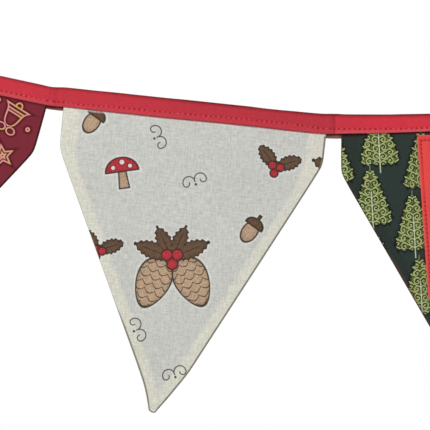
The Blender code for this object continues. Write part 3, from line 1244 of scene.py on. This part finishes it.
# %% [markdown]
# ## Thin cloth that rounds off at its edge
#
# Turned cloth is round at its edge and thinner than in the middle. A bevel would need extra
# faces all round. A Solidify modifier can read a vertex group that says how thick each point is,
# so the thickness itself follows a quarter of a circle towards the edge.

# %% Thickness
GATHER_STRENGTH = 0.82


def thicken(sheet):
    """Half the cloth's thickness to each side, with the other finish on the far side."""
    solidify = sheet.modifiers.new("Thickness", "SOLIDIFY")
    solidify.thickness = FULL_THICKNESS * MM
    solidify.offset = 0.0
    solidify.vertex_group = "fullness"
    solidify.thickness_vertex_group = 0.0
    solidify.use_even_offset = False
    solidify.material_offset = 1


def edge_thickness(distance, body, lip, reach):
    """Cloth that is full inside and rounds off to a thin lip at its edge."""
    share = 1 - min(distance / reach, 1.0)
    return lip + (body - lip) * math.sqrt(1 - share * share)


def gathered(share):
    """Moves a share from 0 to 1 towards its nearer end, so that columns crowd at both edges."""
    return share - GATHER_STRENGTH * math.sin(math.tau * share) / math.tau


print("the column at a tenth moves out to", round(gathered(0.1), 3))

# %% [markdown]
# ## From a flat grid to a sheet of cloth
#
# Every sheet starts as a flat grid from bmesh, whose points are then moved one by one to where
# the cloth lies. Subdividing and sculpting a plane would do it by eye. The grid gives clean
# quads, a simple count, and a point for every place that a formula is asked for.

# %% Sheet maker


def piece_from(name, shape, finishes, smooth=True):
    """A piece of the scene from a finished bmesh, which is freed."""
    mesh = bpy.data.meshes.new(name)
    shape.to_mesh(mesh)
    shape.free()
    if smooth:
        mesh.shade_smooth()
    for finish in finishes:
        mesh.materials.append(finish)
    piece = bpy.data.objects.new(name, mesh)
    bpy.context.scene.collection.objects.link(piece)
    print(name, "has", len(mesh.polygons), "faces")
    return piece


def make_sheet(name, columns, rows, spot_at, finishes):
    """A sheet on a grid. spot_at gives the Spot at two shares from 0 to 1, across and down."""
    cloth = bmesh.new()
    bmesh.ops.create_grid(cloth, x_segments=columns, y_segments=rows, size=0.5)
    notes = {note: cloth.verts.layers.float.new(note) for note in NOTES}
    fullness = cloth.verts.layers.deform.verify()
    flat = cloth.loops.layers.uv.new("cloth")
    for vert in cloth.verts:
        spot = spot_at(vert.co.x + 0.5, 0.5 - vert.co.y)
        vert.co = spot.world
        vert[fullness][0] = spot.thickness / FULL_THICKNESS
        for note, layer in notes.items():
            vert[layer] = getattr(spot, note)
        for loop in vert.link_loops:
            loop[flat].uv = (spot.flat[0] * MM, spot.flat[1] * MM)
    sheet = piece_from(name, cloth, [materials[finish] for finish in finishes])
    sheet.vertex_groups.new(name="fullness")
    thicken(sheet)
    return sheet


print("a sheet is at most", FULL_THICKNESS, "mm thick")

# %% [markdown]
# ## How far a point is from the seam
#
# The distance from the seam drives a pennant's lip, its firm band and its puckers. Working it
# out by formula is awkward round the shoulders and the point, so the outline is walked in small
# steps into a KD tree, which then answers for every point of the cloth.

# %% Sewn outline
OUTLINE_STEPS = 12  # between two rows


def outline_tree(rows):
    """The sewn outline, without the raw top edge, as a tree that finds its nearest point."""
    places = []
    for (depth, left, right), (next_depth, next_left, next_right) in zip(rows, rows[1:]):
        for index in range(OUTLINE_STEPS):
            share = index / OUTLINE_STEPS
            down = depth + (next_depth - depth) * share
            places.append((left + (next_left - left) * share, down, 0.0))
            places.append((right + (next_right - right) * share, down, 0.0))
    places.append((sum(rows[-1][1:]) / 2, rows[-1][0], 0.0))
    tree = kdtree.KDTree(len(places))
    for index, place in enumerate(places):
        tree.insert(place, index)
    tree.balance()
    return tree


print("from 80 mm below the fold to the nearest seam, mm:",
      round(outline_tree(pennant_rows(PENNANTS[1])).find((0.0, 80.0, 0.0))[2], 1))

# %% [markdown]
# ## Sewing the pennants
#
# A pennant is two layers sewn face to face and turned. Two separate layers would have to touch
# everywhere without crossing, so one sheet stands for both. Where the allowances lie folded
# inside, it is a little thicker, and along the seam the thread draws it into small puckers.

# %% Pennants
PENNANT_COLUMNS = 112
PENNANT_BODY, PENNANT_LIP, PENNANT_ROUND = 1.15, 0.34, 1.3
ALLOWANCE, TOP_ALLOWANCE = 7.2, 11.0  # at the tapers, and beside the tape
TOP_ENDS, TAPER_STARTS = 26.0, 52.0  # the depths between which one becomes the other
ALLOWANCE_FULLNESS, ALLOWANCE_SOFT = 0.22, 1.2
PUCKER_HEIGHT, PUCKER_STEP, PUCKER_LENGTH, PUCKER_REACH = 0.16, 9.5, 60.0, 4.0
PUCKER_START_SOFT = 12
# How far the tape's front reaches down, because it tints the cloth close under its hem:
# (place along the fold, height).
FRONT_HEIGHTS = (
    (-98.0, 12.3), (-90.0, 12.1), (-82.0, 12.5), (-50.0, 12.7), (-15.0, 12.7), (20.0, 12.3),
    (45.0, 12.3), (60.0, 12.5), (86.0, 12.6), (92.0, 12.5), (98.0, 12.1), (110.0, 11.9),
    (128.0, 11.5), (150.0, 11.0), (322.0, 11.8),
)


def allowance_at(depth):
    near_tape = 1 - smooth_step(TOP_ENDS, TAPER_STARTS, depth)
    return ALLOWANCE + (TOP_ALLOWANCE - ALLOWANCE) * near_tape


def pucker_at(pennant, across, depth, seam):
    """How far the cloth stands forward beside its seam."""
    place = Vector((depth / PUCKER_STEP, across / PUCKER_LENGTH, pennant.middle))
    pucker = noise.noise(place) * (PUCKER_HEIGHT * math.exp(-seam / PUCKER_REACH))
    return pucker * smooth_step(WAVES_START, WAVES_START + PUCKER_START_SOFT, depth)


def make_pennant(pennant):
    rows = pennant_rows(pennant)
    tree = outline_tree(rows)
    last = len(rows) - 1

    def spot_at(share, down):
        depth, left, right = rows[round(down * last)]
        across = left + (right - left) * gathered(share)
        at_edge = share in (0.0, 1.0) or down == 1.0
        seam = 0.0 if at_edge else tree.find((across, depth, 0.0))[2]
        allowance = allowance_at(depth)
        firm = 1 - smooth_step(allowance - ALLOWANCE_SOFT, allowance + ALLOWANCE_SOFT, seam)
        body = PENNANT_BODY + ALLOWANCE_FULLNESS * firm
        return Spot(
            world=on_pennant(pennant, across, depth, pucker_at(pennant, across, depth, seam)),
            flat=(across, -depth),
            thickness=edge_thickness(seam, body, PENNANT_LIP, PENNANT_ROUND),
            seam=seam,
            band=seam - allowance,
            line=max(depth - read_table(FRONT_HEIGHTS, pennant.middle + across), 0.0),
        )

    finishes = (pennant.name, pennant.name + "_back")
    return make_sheet(pennant.name + "_cloth", PENNANT_COLUMNS, last, spot_at, finishes)


pennant_cloths = {pennant.name: make_pennant(pennant) for pennant in PENNANTS}

# %% [markdown]
# ## The folded tape
#
# The tape is one strip folded over the pennants' raw tops, with its own raw edges turned in. In
# the gaps between pennants its two leaves lie pinched together. The space between them, the
# height of each leaf and the line of stitches all change along its length, so each is a number
# or a short table that later cells ask for.

# %% Tape sizes
LEAF_THICK = 1.0
PENNANT_THICK = 1.2
CLEARANCE = 0.3
BACK_LEAF_LONGER = 2.6
# How far the back hem hangs below the front one: (place, distance).
BACK_HEMS = ((-94.0, 1.85), (-84.0, 2.4), (84.0, BACK_LEAF_LONGER), (92.0, 3.0))
PINCH_START, PINCH_LENGTH = 1.4, 2.6
# How far the line of stitches strays above the front hem: (place along the fold, height).
STITCH_RISES = (
    (-107.0, 3.0), (-68.0, 2.6), (-45.0, 3.5), (5.0, 3.8), (62.0, 4.4), (88.0, 3.2),
    (112.0, 2.6), (135.0, 2.3), (322.0, 2.6),
)


def longer_behind(place):
    return read_table(BACK_HEMS, place)


def half_slot(place):
    """Half the space between the tape's two leaves: open for a pennant, else pinched."""
    beyond = min(abs(place - pennant.middle) - HALF_WIDTH for pennant in PENNANTS)
    wide, narrow = PENNANT_THICK / 2 + CLEARANCE, CLEARANCE / 2
    closed = smooth_step(PINCH_START, PINCH_START + PINCH_LENGTH, beyond)
    return wide + (narrow - wide) * closed


def on_tape(place, y, depth):
    """A point at a depth below the fold, square to it, in metres."""
    x, z, slope = fold_point(place)
    return Vector((x + math.sin(slope) * depth, y, z - math.cos(slope) * depth)) * MM


print("the slot is", round(2 * half_slot(PENNANTS[1].middle), 2), "mm at a pennant and",
      round(2 * half_slot(TAPE_LEFT), 2), "mm at the tape's end")

# %% [markdown]
# ## The tape's section
#
# The section runs from the back leaf's hem over the fold to the front leaf's hem. A curve with a
# bevel profile would be quicker to draw, but it could not pinch the two leaves together in the
# gaps. So a function gives each row of the grid its place in the section, wherever it is asked.

# %% Section of the tape
LEAF_ROWS, FOLD_ROWS = 16, 8
TAPE_ROWS = 2 * LEAF_ROWS + FOLD_ROWS
HEM_CROWDING = 1.6  # how much the rows crowd towards the hems
# How far the cloth stands above a true fold, or is pressed below it: (place, height).
FOLD_PROUD = (
    (-119.0, -0.15), (-60.0, -0.08), (-50.0, 0.06), (-15.0, 0.08), (-5.0, 0.25), (36.0, 0.25),
    (46.0, 0.0), (56.0, 0.0), (66.0, 0.18), (88.0, 0.25), (96.0, 0.13), (125.0, 0.08),
    (133.0, 0.25),
)


def section_place(place, row):
    """(y, depth, outward, rise above the hem) of a row of the section at a place."""
    back = PENNANT_THICK / 2 + CLEARANCE + LEAF_THICK / 2
    radius = half_slot(place) + LEAF_THICK / 2
    middle, bend_depth = back - radius, LEAF_THICK / 2 + radius
    front_height = read_table(FRONT_HEIGHTS, place)
    if LEAF_ROWS <= row <= LEAF_ROWS + FOLD_ROWS:
        angle = math.pi * (row - LEAF_ROWS) / FOLD_ROWS
        proud = read_table(FOLD_PROUD, place)
        depth = bend_depth - (radius + proud) * math.sin(angle)
        return middle + radius * math.cos(angle), depth, 0.0, front_height - depth
    behind = row < LEAF_ROWS
    height = front_height + longer_behind(place) * behind
    from_hem = row if behind else TAPE_ROWS - row
    rise = (height - bend_depth) * (from_hem / LEAF_ROWS) ** HEM_CROWDING
    return (back if behind else middle - radius), height - rise, (1 if behind else -1), rise


for row in (0, LEAF_ROWS + FOLD_ROWS // 2, TAPE_ROWS):
    print("row", row, "of the section at 0:", [round(size, 2) for size in section_place(0.0, row)])

# %% [markdown]
# ## Ripples and creases
#
# Every stitch pulls the tape in a little, so the cloth ripples beside the line. In the gaps the
# tape bends sharply and creases across. Sculpting them would be lost with the next change of
# size. A pressed crease is a low ridge with a bell-shaped section, so each one is an
# exponential at its own place, and noise gives the ripples.

# %% Relief of the tape
TAPE_RIPPLE, RIPPLE_REACH, RIPPLE_STEP, RIPPLE_SEED = 0.10, 3.0, 4.5, 7.0
TAPE_SWAY, SWAY_STEP, SWAY_DEPTH, SWAY_SEED = 0.10, 22.0, 10.0, 3.0
CREASE_STRENGTH = 0.8
# Soft crosswise creases in the gaps: (place, height, width, lean).
CREASES = (
    (-96.0, -0.20, 2.2, 0.3), (-90.5, 0.32, 1.3, -0.2), (-86.5, -0.26, 1.0, 0.1),
    (-82.5, 0.30, 1.2, 0.25), (-77.0, -0.16, 2.0, 0.0), (84.0, -0.18, 2.4, -0.1),
    (90.4, 0.36, 0.9, 0.0), (94.2, -0.18, 1.6, 0.15),
)
# The share of the relief at the hem, and the rise in which it would gain a whole.
HEM_RELIEF, RELIEF_RISE = 0.4, 2.0


def tape_relief(place, depth, rise):
    """How far a leaf stands out of its plane, from ripples at the stitches and from creases."""
    near_line = math.exp(-abs(rise - read_table(STITCH_RISES, place)) / RIPPLE_REACH)
    ripple_place = Vector((place / RIPPLE_STEP, 0.0, RIPPLE_SEED))
    ripple = TAPE_RIPPLE * near_line * noise.noise(ripple_place)
    sway = TAPE_SWAY * noise.noise(Vector((place / SWAY_STEP, depth / SWAY_DEPTH, SWAY_SEED)))
    crease = sum(
        height * math.exp(-(((place - at - lean * depth) / width) ** 2))
        for at, height, width, lean in CREASES
    )
    return (ripple + sway + crease * CREASE_STRENGTH) * min(rise / RELIEF_RISE + HEM_RELIEF, 1.0)


print("the crease at 90.4 stands", round(tape_relief(90.4, 6.0, 6.0), 2), "mm out")

# %% [markdown]
# ## Painted shade and light along the tape
#
# Along its length the tape's shade and highlights are painted. Its hem has a paler painted
# highlight in the gaps than over the cream pennant, where it rolls under into painted shade. This
# could be painted on the mesh by hand, but one table holds all three changes side by side, so that
# a place can be read across and corrected at once.

# %% Looks of the tape
# (place, dullness, paleness of its hem, darkness where the hem rolls under), all painted shade and
# highlight.
TAPE_LOOKS = (
    (-119.0, 0.17, 0.36, 0.36), (-99.0, 0.14, 0.30, 0.36), (-91.6, 0.20, 0.30, 0.42),
    (-88.0, 0.17, 0.24, 0.35), (-83.0, 0.26, 0.14, 0.25), (-74.0, 0.22, 0.22, 0.35),
    (-50.0, 0.24, 0.20, 0.46), (-20.0, 0.27, 0.20, 0.60), (-8.0, 0.32, 0.18, 0.52),
    (37.0, 0.33, 0.12, 0.62), (56.0, 0.37, 0.12, 0.56), (88.0, 0.32, 0.20, 0.32),
    (90.2, 0.30, 0.24, 0.10), (94.0, 0.15, 0.34, 0.05), (108.0, 0.08, 0.36, 0.10),
    (118.0, 0.0, 0.36, 0.10),
)
HEM_DARK_START, HEM_DARK_RISE = 0.2, 1.8
HEM_PALE_RISE = 2.2
LINE_REACH = 0.9
# The part of the hem's painted highlight that reaches from the stitches down, and the part at the
# hem.
PALE_BELOW_LINE, PALE_AT_HEM = 0.3, 0.7
# How much less painted shade lies below the line of stitches.
LESS_SHADE_BELOW_LINE = 0.35


def tape_look(place, rise, above_line):
    """(painted shade, painted highlight) of the front leaf at a place, a rise above its hem."""
    dull, pale, dark = (read_table(TAPE_LOOKS, place, column) for column in (1, 2, 3))
    below_line = 1 - smooth_step(-LINE_REACH, 0.0, above_line)
    rolled = 1 - smooth_step(HEM_DARK_START, HEM_DARK_RISE, rise)
    near_hem = 1 - smooth_step(HEM_PALE_RISE / 2, HEM_PALE_RISE, rise)
    dullness = dull * (1 - LESS_SHADE_BELOW_LINE * below_line)
    paleness = pale * (PALE_BELOW_LINE * below_line + PALE_AT_HEM * near_hem)
    return dullness + (1 - dullness) * dark * rolled, paleness


for place in (-99.0, 37.0, 118.0):
    print("dull and pale at", place, [round(look, 2) for look in tape_look(place, 1.0, -2.0)])

# %% [markdown]
# ## Making the tape
#
# One long grid now follows the fold line, with its section across. An array of short pieces
# would show its joins. Along the stitches the cloth is thinner, because the thread presses it
# down into a groove. Its flat coordinates run from the fold down both leaves, so the weave
# never stretches.

# %% Tape
GROOVE_DEPTH, GROOVE_WIDTH = 0.22, 0.6
LIP, LIP_REACH = 0.3, 0.6
RELIEF_START, RELIEF_FULL = 2.0, 3.0  # below the fold, and how far on it is complete
FOLD_SHADE_SHIFT = 1.0  # the back leaf's fold is shaded this much less far


def tape_spot(share, down):
    place = TAPE_LEFT + (TAPE_RIGHT - TAPE_LEFT) * share
    y, depth, outward, rise = section_place(place, round(down * TAPE_ROWS))
    behind = outward > 0
    above_line = rise - read_table(STITCH_RISES, place)
    if behind:
        above_line -= longer_behind(place)
    from_end = min(place - TAPE_LEFT, TAPE_RIGHT - place)
    groove = GROOVE_DEPTH * math.exp(-((above_line / GROOVE_WIDTH) ** 2)) * abs(outward)
    out_of_fold = smooth_step(0.0, RELIEF_FULL, depth - RELIEF_START)
    y += outward * tape_relief(place, depth, rise) * out_of_fold
    fade, pale = tape_look(place, rise, above_line)
    return Spot(
        world=on_tape(place, y, depth),
        flat=(place, depth if behind else -depth),
        thickness=edge_thickness(min(rise, from_end), LEAF_THICK, LIP, LIP_REACH) - groove,
        seam=depth - LEAF_THICK / 2 + FOLD_SHADE_SHIFT * behind,
        line=above_line,
        along=place,
        fade=fade,
        pale=pale,
    )


tape_cloth = make_sheet("tape_cloth", 2 * STITCHES, TAPE_ROWS, tape_spot, ("tape", "tape_inside"))

# %% [markdown]
# ## A rectangle with round corners
#
# Folded cloth can't make a sharp corner, so the patch's corners are round. A bevel on the grid
# would need its own faces there. Instead two small functions share the shape: one says how far
# inside a point is, for the lip and the stitches, and the other moves the square grid's corner
# points onto the curve.

# %% Rounded rectangle
PATCH_CORNER = 2.2


def rounded_box_distance(x, y, half_width, half_height, radius):
    """How far a point is inside a rectangle with round corners."""
    over_x, over_y = abs(x) - half_width + radius, abs(y) - half_height + radius
    outside = math.hypot(max(over_x, 0.0), max(over_y, 0.0))
    return radius - outside - min(max(over_x, over_y), 0.0)


def inside_patch(x, y):
    return rounded_box_distance(x, y, PATCH_WIDTH / 2, PATCH_HEIGHT / 2, PATCH_CORNER)


def round_corner(x, y):
    """Moves a point of a square corner onto the round one."""
    over_x = abs(x) - PATCH_WIDTH / 2 + PATCH_CORNER
    over_y = abs(y) - PATCH_HEIGHT / 2 + PATCH_CORNER
    if over_x <= 0 or over_y <= 0:
        return x, y
    shrink_x = math.sqrt(1 - (over_y / PATCH_CORNER) ** 2 / 2)
    shrink_y = math.sqrt(1 - (over_x / PATCH_CORNER) ** 2 / 2)
    return (x - math.copysign(over_x * (1 - shrink_x), x),
            y - math.copysign(over_y * (1 - shrink_y), y))


corner = round_corner(PATCH_WIDTH / 2, PATCH_HEIGHT / 2)
print("the grid's corner point moves to", [round(size, 2) for size in corner])

# %% [markdown]
# ## Lying on the pennant
#
# The patch is sewn on, so it has to follow the pennant's own waves. A Shrinkwrap modifier could
# press it on, but it would also flatten the small gap and the stitches' relief. Here the patch
# asks the pennant for its surface and adds its own height: low along the stitches, where the
# thread pulls it down, and a little proud in the middle.

# %% Surface of the patch
PATCH_THICK, PATCH_INSIDE_THICK = 1.0, 0.75
PATCH_FRONT = PENNANT_THICK / 2 + CLEARANCE + PATCH_THICK / 2
PATCH_PUFF, PUFF_START, PUFF_FULL = 0.35, 2.5, 16.0
bearer = PENNANTS[-1]


def on_patch(x, y, extra=0.0):
    """A point of the patch. x and y are from its middle."""
    puff = PATCH_PUFF * smooth_step(PUFF_START, PUFF_FULL, inside_patch(x, y))
    down = PATCH_HEIGHT / 2 - y
    across = PATCH_ASIDE + x + down * PATCH_LEAN
    return on_pennant(bearer, across, PATCH_TOP + down, PATCH_FRONT + puff + extra)


print("the middle of the patch lies at", [round(x, 4) for x in on_patch(0.0, 0.0)])

# %% [markdown]
# ## The stitched patch
#
# The patch is one layer with its edges turned under, sewn all round. Its border is thicker for
# that, and the stitches press a groove in it. Both come from the one sheet's thickness, so no
# second layer is needed. Each side has a whole number of stitches, so that a hole falls on
# every corner.

# %% Patch
PATCH_COLUMNS, PATCH_ROWS = 72, 100
STITCH_INSET_X, STITCH_INSET_Y = 2.1, 3.4
# The line of stitches as a rectangle: half its width, half its height, and its stitches.
STITCH_HALF_X, STITCH_HALF_Y = PATCH_WIDTH / 2 - STITCH_INSET_X, PATCH_HEIGHT / 2 - STITCH_INSET_Y
STITCHES_ACROSS = round(2 * STITCH_HALF_X / PATCH_STITCH_STEP)
STITCHES_DOWN = round(2 * STITCH_HALF_Y / PATCH_STITCH_STEP)
LINE_CORNER = 0.5
TURNED_UNDER, TURNED_UNDER_END = 5.5, 7.5  # how wide the double border is, and where it has ended
PATCH_GROOVE = 0.3


def patch_spot(share, down):
    across, up = (gathered(share) - 0.5) * PATCH_WIDTH, (0.5 - gathered(down)) * PATCH_HEIGHT
    x, y = round_corner(across, up)
    inside = inside_patch(x, y)
    line = rounded_box_distance(x, y, STITCH_HALF_X, STITCH_HALF_Y, LINE_CORNER)
    firm = 1 - smooth_step(TURNED_UNDER, TURNED_UNDER_END, inside)
    body = PATCH_INSIDE_THICK + (PATCH_THICK - PATCH_INSIDE_THICK) * firm
    if abs(x) - STITCH_HALF_X > abs(y) - STITCH_HALF_Y:
        stitches = (y + STITCH_HALF_Y) / (2 * STITCH_HALF_Y) * STITCHES_DOWN
    else:
        stitches = (x + STITCH_HALF_X) / (2 * STITCH_HALF_X) * STITCHES_ACROSS
    groove = PATCH_GROOVE * math.exp(-((line / GROOVE_WIDTH) ** 2))
    return Spot(
        world=on_patch(x, y),
        flat=(x, y),
        thickness=edge_thickness(max(inside, 0.0), body, LIP, LIP_REACH) - groove,
        seam=inside,
        line=line,
        along=stitches * PATCH_STITCH_STEP,
    )


patch_cloth = make_sheet("patch_cloth", PATCH_COLUMNS, PATCH_ROWS, patch_spot,
                         ("patch", "patch_back"))

# %% [markdown]
# ## Thread
#
# Sewing thread is twisted from finer strands, so it has a soft gleam that is paler where it
# stands proud. At this size a strand is less than a dot, and a fine noise between the dye and a
# paler painted highlight says enough.

# %% Thread
TAPE_THREAD = (colour(226, 82, 94), colour(240, 120, 128))
PATCH_THREAD = (colour(192, 40, 40), colour(206, 60, 56))
THREAD = {"Roughness": 0.7, "Sheen Weight": 0.1, "Specular IOR Level": 0.2}
TWIST_SCALE = 420.0


def thread_finish(name, dye, pale):
    """Twisted thread, with a painted highlight where it stands proud."""
    thread = Finish(name, THREAD)
    place = thread.node("ShaderNodeTexCoord", {}, {}, "Object")
    twist = thread.node("ShaderNodeTexNoise", {}, {"Vector": place, "Scale": TWIST_SCALE})
    # A fine noise mixes in the painted highlight.
    thread.feed("Base Color", thread.mix(pale, dye, twist.below(0.58, 0.2)))
    return thread.material


print("thread:", THREAD)

# %% [markdown]
# ## Stitches
#
# A machine stitch is a short plump length of thread that dives into the cloth at both ends. A
# stretched low-poly sphere has that shape in two dozen faces, and a few hundred of them joined
# in one mesh cost little. Each row of stitches is one object, so it stays one thread.

# %% Stitch maker
THREAD_WIDTH = 0.5
STITCH_SHARE = 0.5  # of the step between two holes, the rest of it being the open hole


def make_stitches(name, holes, finish):
    """One thread through a list of rows of holes, each row a list of places in metres."""
    threads = bmesh.new()
    half = THREAD_WIDTH * MM / 2
    for row in holes:
        for start, end in zip(row, row[1:]):
            along = end - start
            turn = along.to_track_quat("Z", "Y").to_matrix().to_4x4()
            size = Matrix.Diagonal((half, half, along.length * STITCH_SHARE / 2, 1.0))
            place = Matrix.Translation((start + end) / 2) @ turn @ size
            bmesh.ops.create_uvsphere(
                threads, u_segments=6, v_segments=4, radius=1.0, matrix=place
            )
    print(name, "has", sum(len(row) - 1 for row in holes), "stitches")
    return piece_from(name, threads, [finish])


print("a stitch on the tape is", round(STITCH_STEP * STITCH_SHARE, 2), "mm long")

# %% [markdown]
# ## Topstitching the tape
#
# One row of stitches runs the whole tape and closes both leaves on the pennants. It shows in
# front and behind, so each side gets its own thread, and a short row across each tail keeps its
# end shut. The holes come from the tape's own section and relief, so that no stitch floats.

# %% Stitches of the tape
TAIL_STITCH_INSET = 3.0
TAIL_HOLES, TAIL_FIRST_HOLE, TAIL_STEP = 4, 1.4, 2.6


def tape_hole(place, rise, side):
    """A needle hole on the face of a leaf: side is 1 behind and -1 in front."""
    y, hem_depth, _, _ = section_place(place, 0 if side > 0 else TAPE_ROWS)
    height = rise + (longer_behind(place) if side > 0 else 0.0)
    depth = hem_depth - height
    out = y + side * (tape_relief(place, depth, height) + LEAF_THICK / 2 - GROOVE_DEPTH / 2)
    return on_tape(place, out, depth)


def tape_holes(side):
    places = [TAPE_LEFT + STITCH_STEP * (index + 1.0) for index in range(STITCHES - 1)]
    rows = [[tape_hole(place, read_table(STITCH_RISES, place), side) for place in places]]
    for place in (TAPE_LEFT + TAIL_STITCH_INSET, TAPE_RIGHT - TAIL_STITCH_INSET):
        rises = [TAIL_FIRST_HOLE + TAIL_STEP * index for index in range(TAIL_HOLES)]
        rows.append([tape_hole(place, rise, side) for rise in rises])
    return rows


tape_thread = thread_finish("tape_thread", *TAPE_THREAD)
tape_stitches = [
    make_stitches("tape_stitches_front", tape_holes(-1), tape_thread),
    make_stitches("tape_stitches_back", tape_holes(1), tape_thread),
]

# %% [markdown]
# ## Topstitching the patch
#
# The patch's stitches run along the rectangle of its groove, one side after another. An array
# along a curve would need turning at each corner. Asking the patch for its surface at every
# hole lays the thread in the groove, sunk a little, whatever the waves of the pennant below do.

# %% Stitches of the patch
THREAD_SINK = 0.16


def patch_holes():
    """Holes along the four sides, in from the edge."""
    corners = [Vector((side_x * STITCH_HALF_X, side_y * STITCH_HALF_Y))
               for side_x, side_y in ((-1, 1), (1, 1), (1, -1), (-1, -1))]
    rows = []
    for index, (start, end) in enumerate(zip(corners, corners[1:] + corners[:1])):
        count = STITCHES_DOWN if index % 2 else STITCHES_ACROSS
        places = [start.lerp(end, step / count) for step in range(count + 1)]
        rows.append([on_patch(*place, PATCH_THICK / 2 - THREAD_SINK) for place in places])
    return rows


patch_thread = thread_finish("patch_thread", *PATCH_THREAD)
patch_stitches = make_stitches("patch_stitches", patch_holes(), patch_thread)

# %% [markdown]
# ## Taking the solids' places
#
# Every piece rides on the one body of the model and takes the place of its plain solid. A
# pennant's cut is not a rectangle, so its flat area is worked out too: a strip down to the
# shoulders and a triangle below.


def take_over(piece, node, stitches=()):
    for thing in (piece, *stitches):
        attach(thing, "root")
    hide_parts(node)


take_over(tape_cloth, "tape", tape_stitches)
(TAPE_RIGHT - TAPE_LEFT) * MM
for pennant in PENNANTS:
    cloth = pennant_cloths[pennant.name]
    take_over(cloth, pennant.name)
    shoulder, point = shoulder_depth(pennant), pennant.point[1]
    area = 2 * HALF_WIDTH * ((shoulder - PENNANT_TOP) + (point - shoulder) / 2)
    area * MM * MM
    print(pennant.name, "flat area, cm2:", round(area / 100, 1))
take_over(patch_cloth, "patch", [patch_stitches])

# %% [markdown]
# ## A plain floor
#
# The bunting hangs in front of white. A floor far below it sends a little soft light back up, as
# a pale room does. A plane with a hard rim would draw a horizon through the white, so this one
# is a disc that fades out at its rim and can't be seen from below.

# %% Floor
FLOOR_HEIGHT, FLOOR_RADIUS, FLOOR_SIDES = -0.6, 3.0, 96
FLOOR_PAINT = {"Base Color": (0.82, 0.82, 0.80, 1.0), "Roughness": 0.8}
FADE_MIDDLE, FADE_SOFT = 0.6, 0.7  # shares of the radius


def floor_finish():
    """Pale near the middle, and clear at the rim and from below."""
    pale = Finish("pale_floor", FLOOR_PAINT)
    place = pale.node("ShaderNodeTexCoord", {}, {}, "Object")
    reach = pale.node("ShaderNodeVectorMath", {"operation": "LENGTH"}, {0: place}, "Value")
    near = reach.below(FADE_MIDDLE * FLOOR_RADIUS, FADE_SOFT * FLOOR_RADIUS)
    below = pale.node("ShaderNodeNewGeometry", {}, {}, "Backfacing")
    clear = pale.node("ShaderNodeBsdfTransparent", {}, {})
    paint = Field(pale, pale.shader.outputs["BSDF"])
    hidden = most(1.0 - near, below)
    surface = pale.node("ShaderNodeMixShader", {}, {0: hidden, 1: paint, 2: clear})
    pale.links.new(surface.socket, pale.nodes["Material Output"].inputs["Surface"])
    return pale.material


disc = bmesh.new()
bmesh.ops.create_circle(disc, cap_ends=True, segments=FLOOR_SIDES, radius=FLOOR_RADIUS)
bmesh.ops.translate(disc, vec=(0.0, 0.0, FLOOR_HEIGHT), verts=disc.verts)
floor = piece_from("floor", disc, [floor_finish()], smooth=False)

# %% [markdown]
# ## A soft light in front and a weaker one behind
#
# The cloth is lit by one large soft light above and beside the camera, so its edges turn away
# from the light and darken as they do in the photograph. A weaker light behind keeps the back
# readable. A sun lamp would throw hard shadows of every thread.

# %% Lights
# (name, place, size in metres, power in watts)
LIGHTS = (
    ("key_light", (-0.65, -1.7, 0.85), 0.9, 28.0),
    ("back_light", (0.9, 1.6, 0.8), 1.2, 20.0),
)


def soft_light(name, place, size, power):
    data = bpy.data.lights.new(name, "AREA")
    data.size, data.energy = size, power
    light = bpy.data.objects.new(name, data)
    light.location = place
    light.rotation_euler = (VIEW_CENTRE - Vector(place)).to_track_quat("-Z", "Y").to_euler()
    light.visible_camera = False
    bpy.context.scene.collection.objects.link(light)
    print(name, "shines with", power, "W over", size, "m")


for light in LIGHTS:
    soft_light(*light)

# %% [markdown]
# ## White all round
#
# A product photograph has a pure white ground, yet white light from every side would wash out
# the cloth. The camera's own rays are told apart from the others: they see white, and the cloth
# gets a dimmer even light. A plain view transform keeps the dyes as they were chosen.

# %% White surroundings
AMBIENT = 0.25


def white_surroundings():
    """White to the camera, and a dimmer even light on the cloth."""
    world = bpy.data.worlds.new("white")
    world.use_nodes = True
    nodes, links = world.node_tree.nodes, world.node_tree.links
    path, strength = nodes.new("ShaderNodeLightPath"), nodes.new("ShaderNodeMapRange")
    strength.inputs["To Min"].default_value = AMBIENT
    strength.inputs["To Max"].default_value = 1.0
    links.new(path.outputs["Is Camera Ray"], strength.inputs["Value"])
    nodes["Background"].inputs["Color"].default_value = WHITE
    links.new(strength.outputs["Result"], nodes["Background"].inputs["Strength"])
    bpy.context.scene.world = world


white_surroundings()
bpy.context.scene.view_settings.view_transform = "Standard"
bpy.context.scene.view_settings.look = "None"
print("even light on the cloth:", AMBIENT)
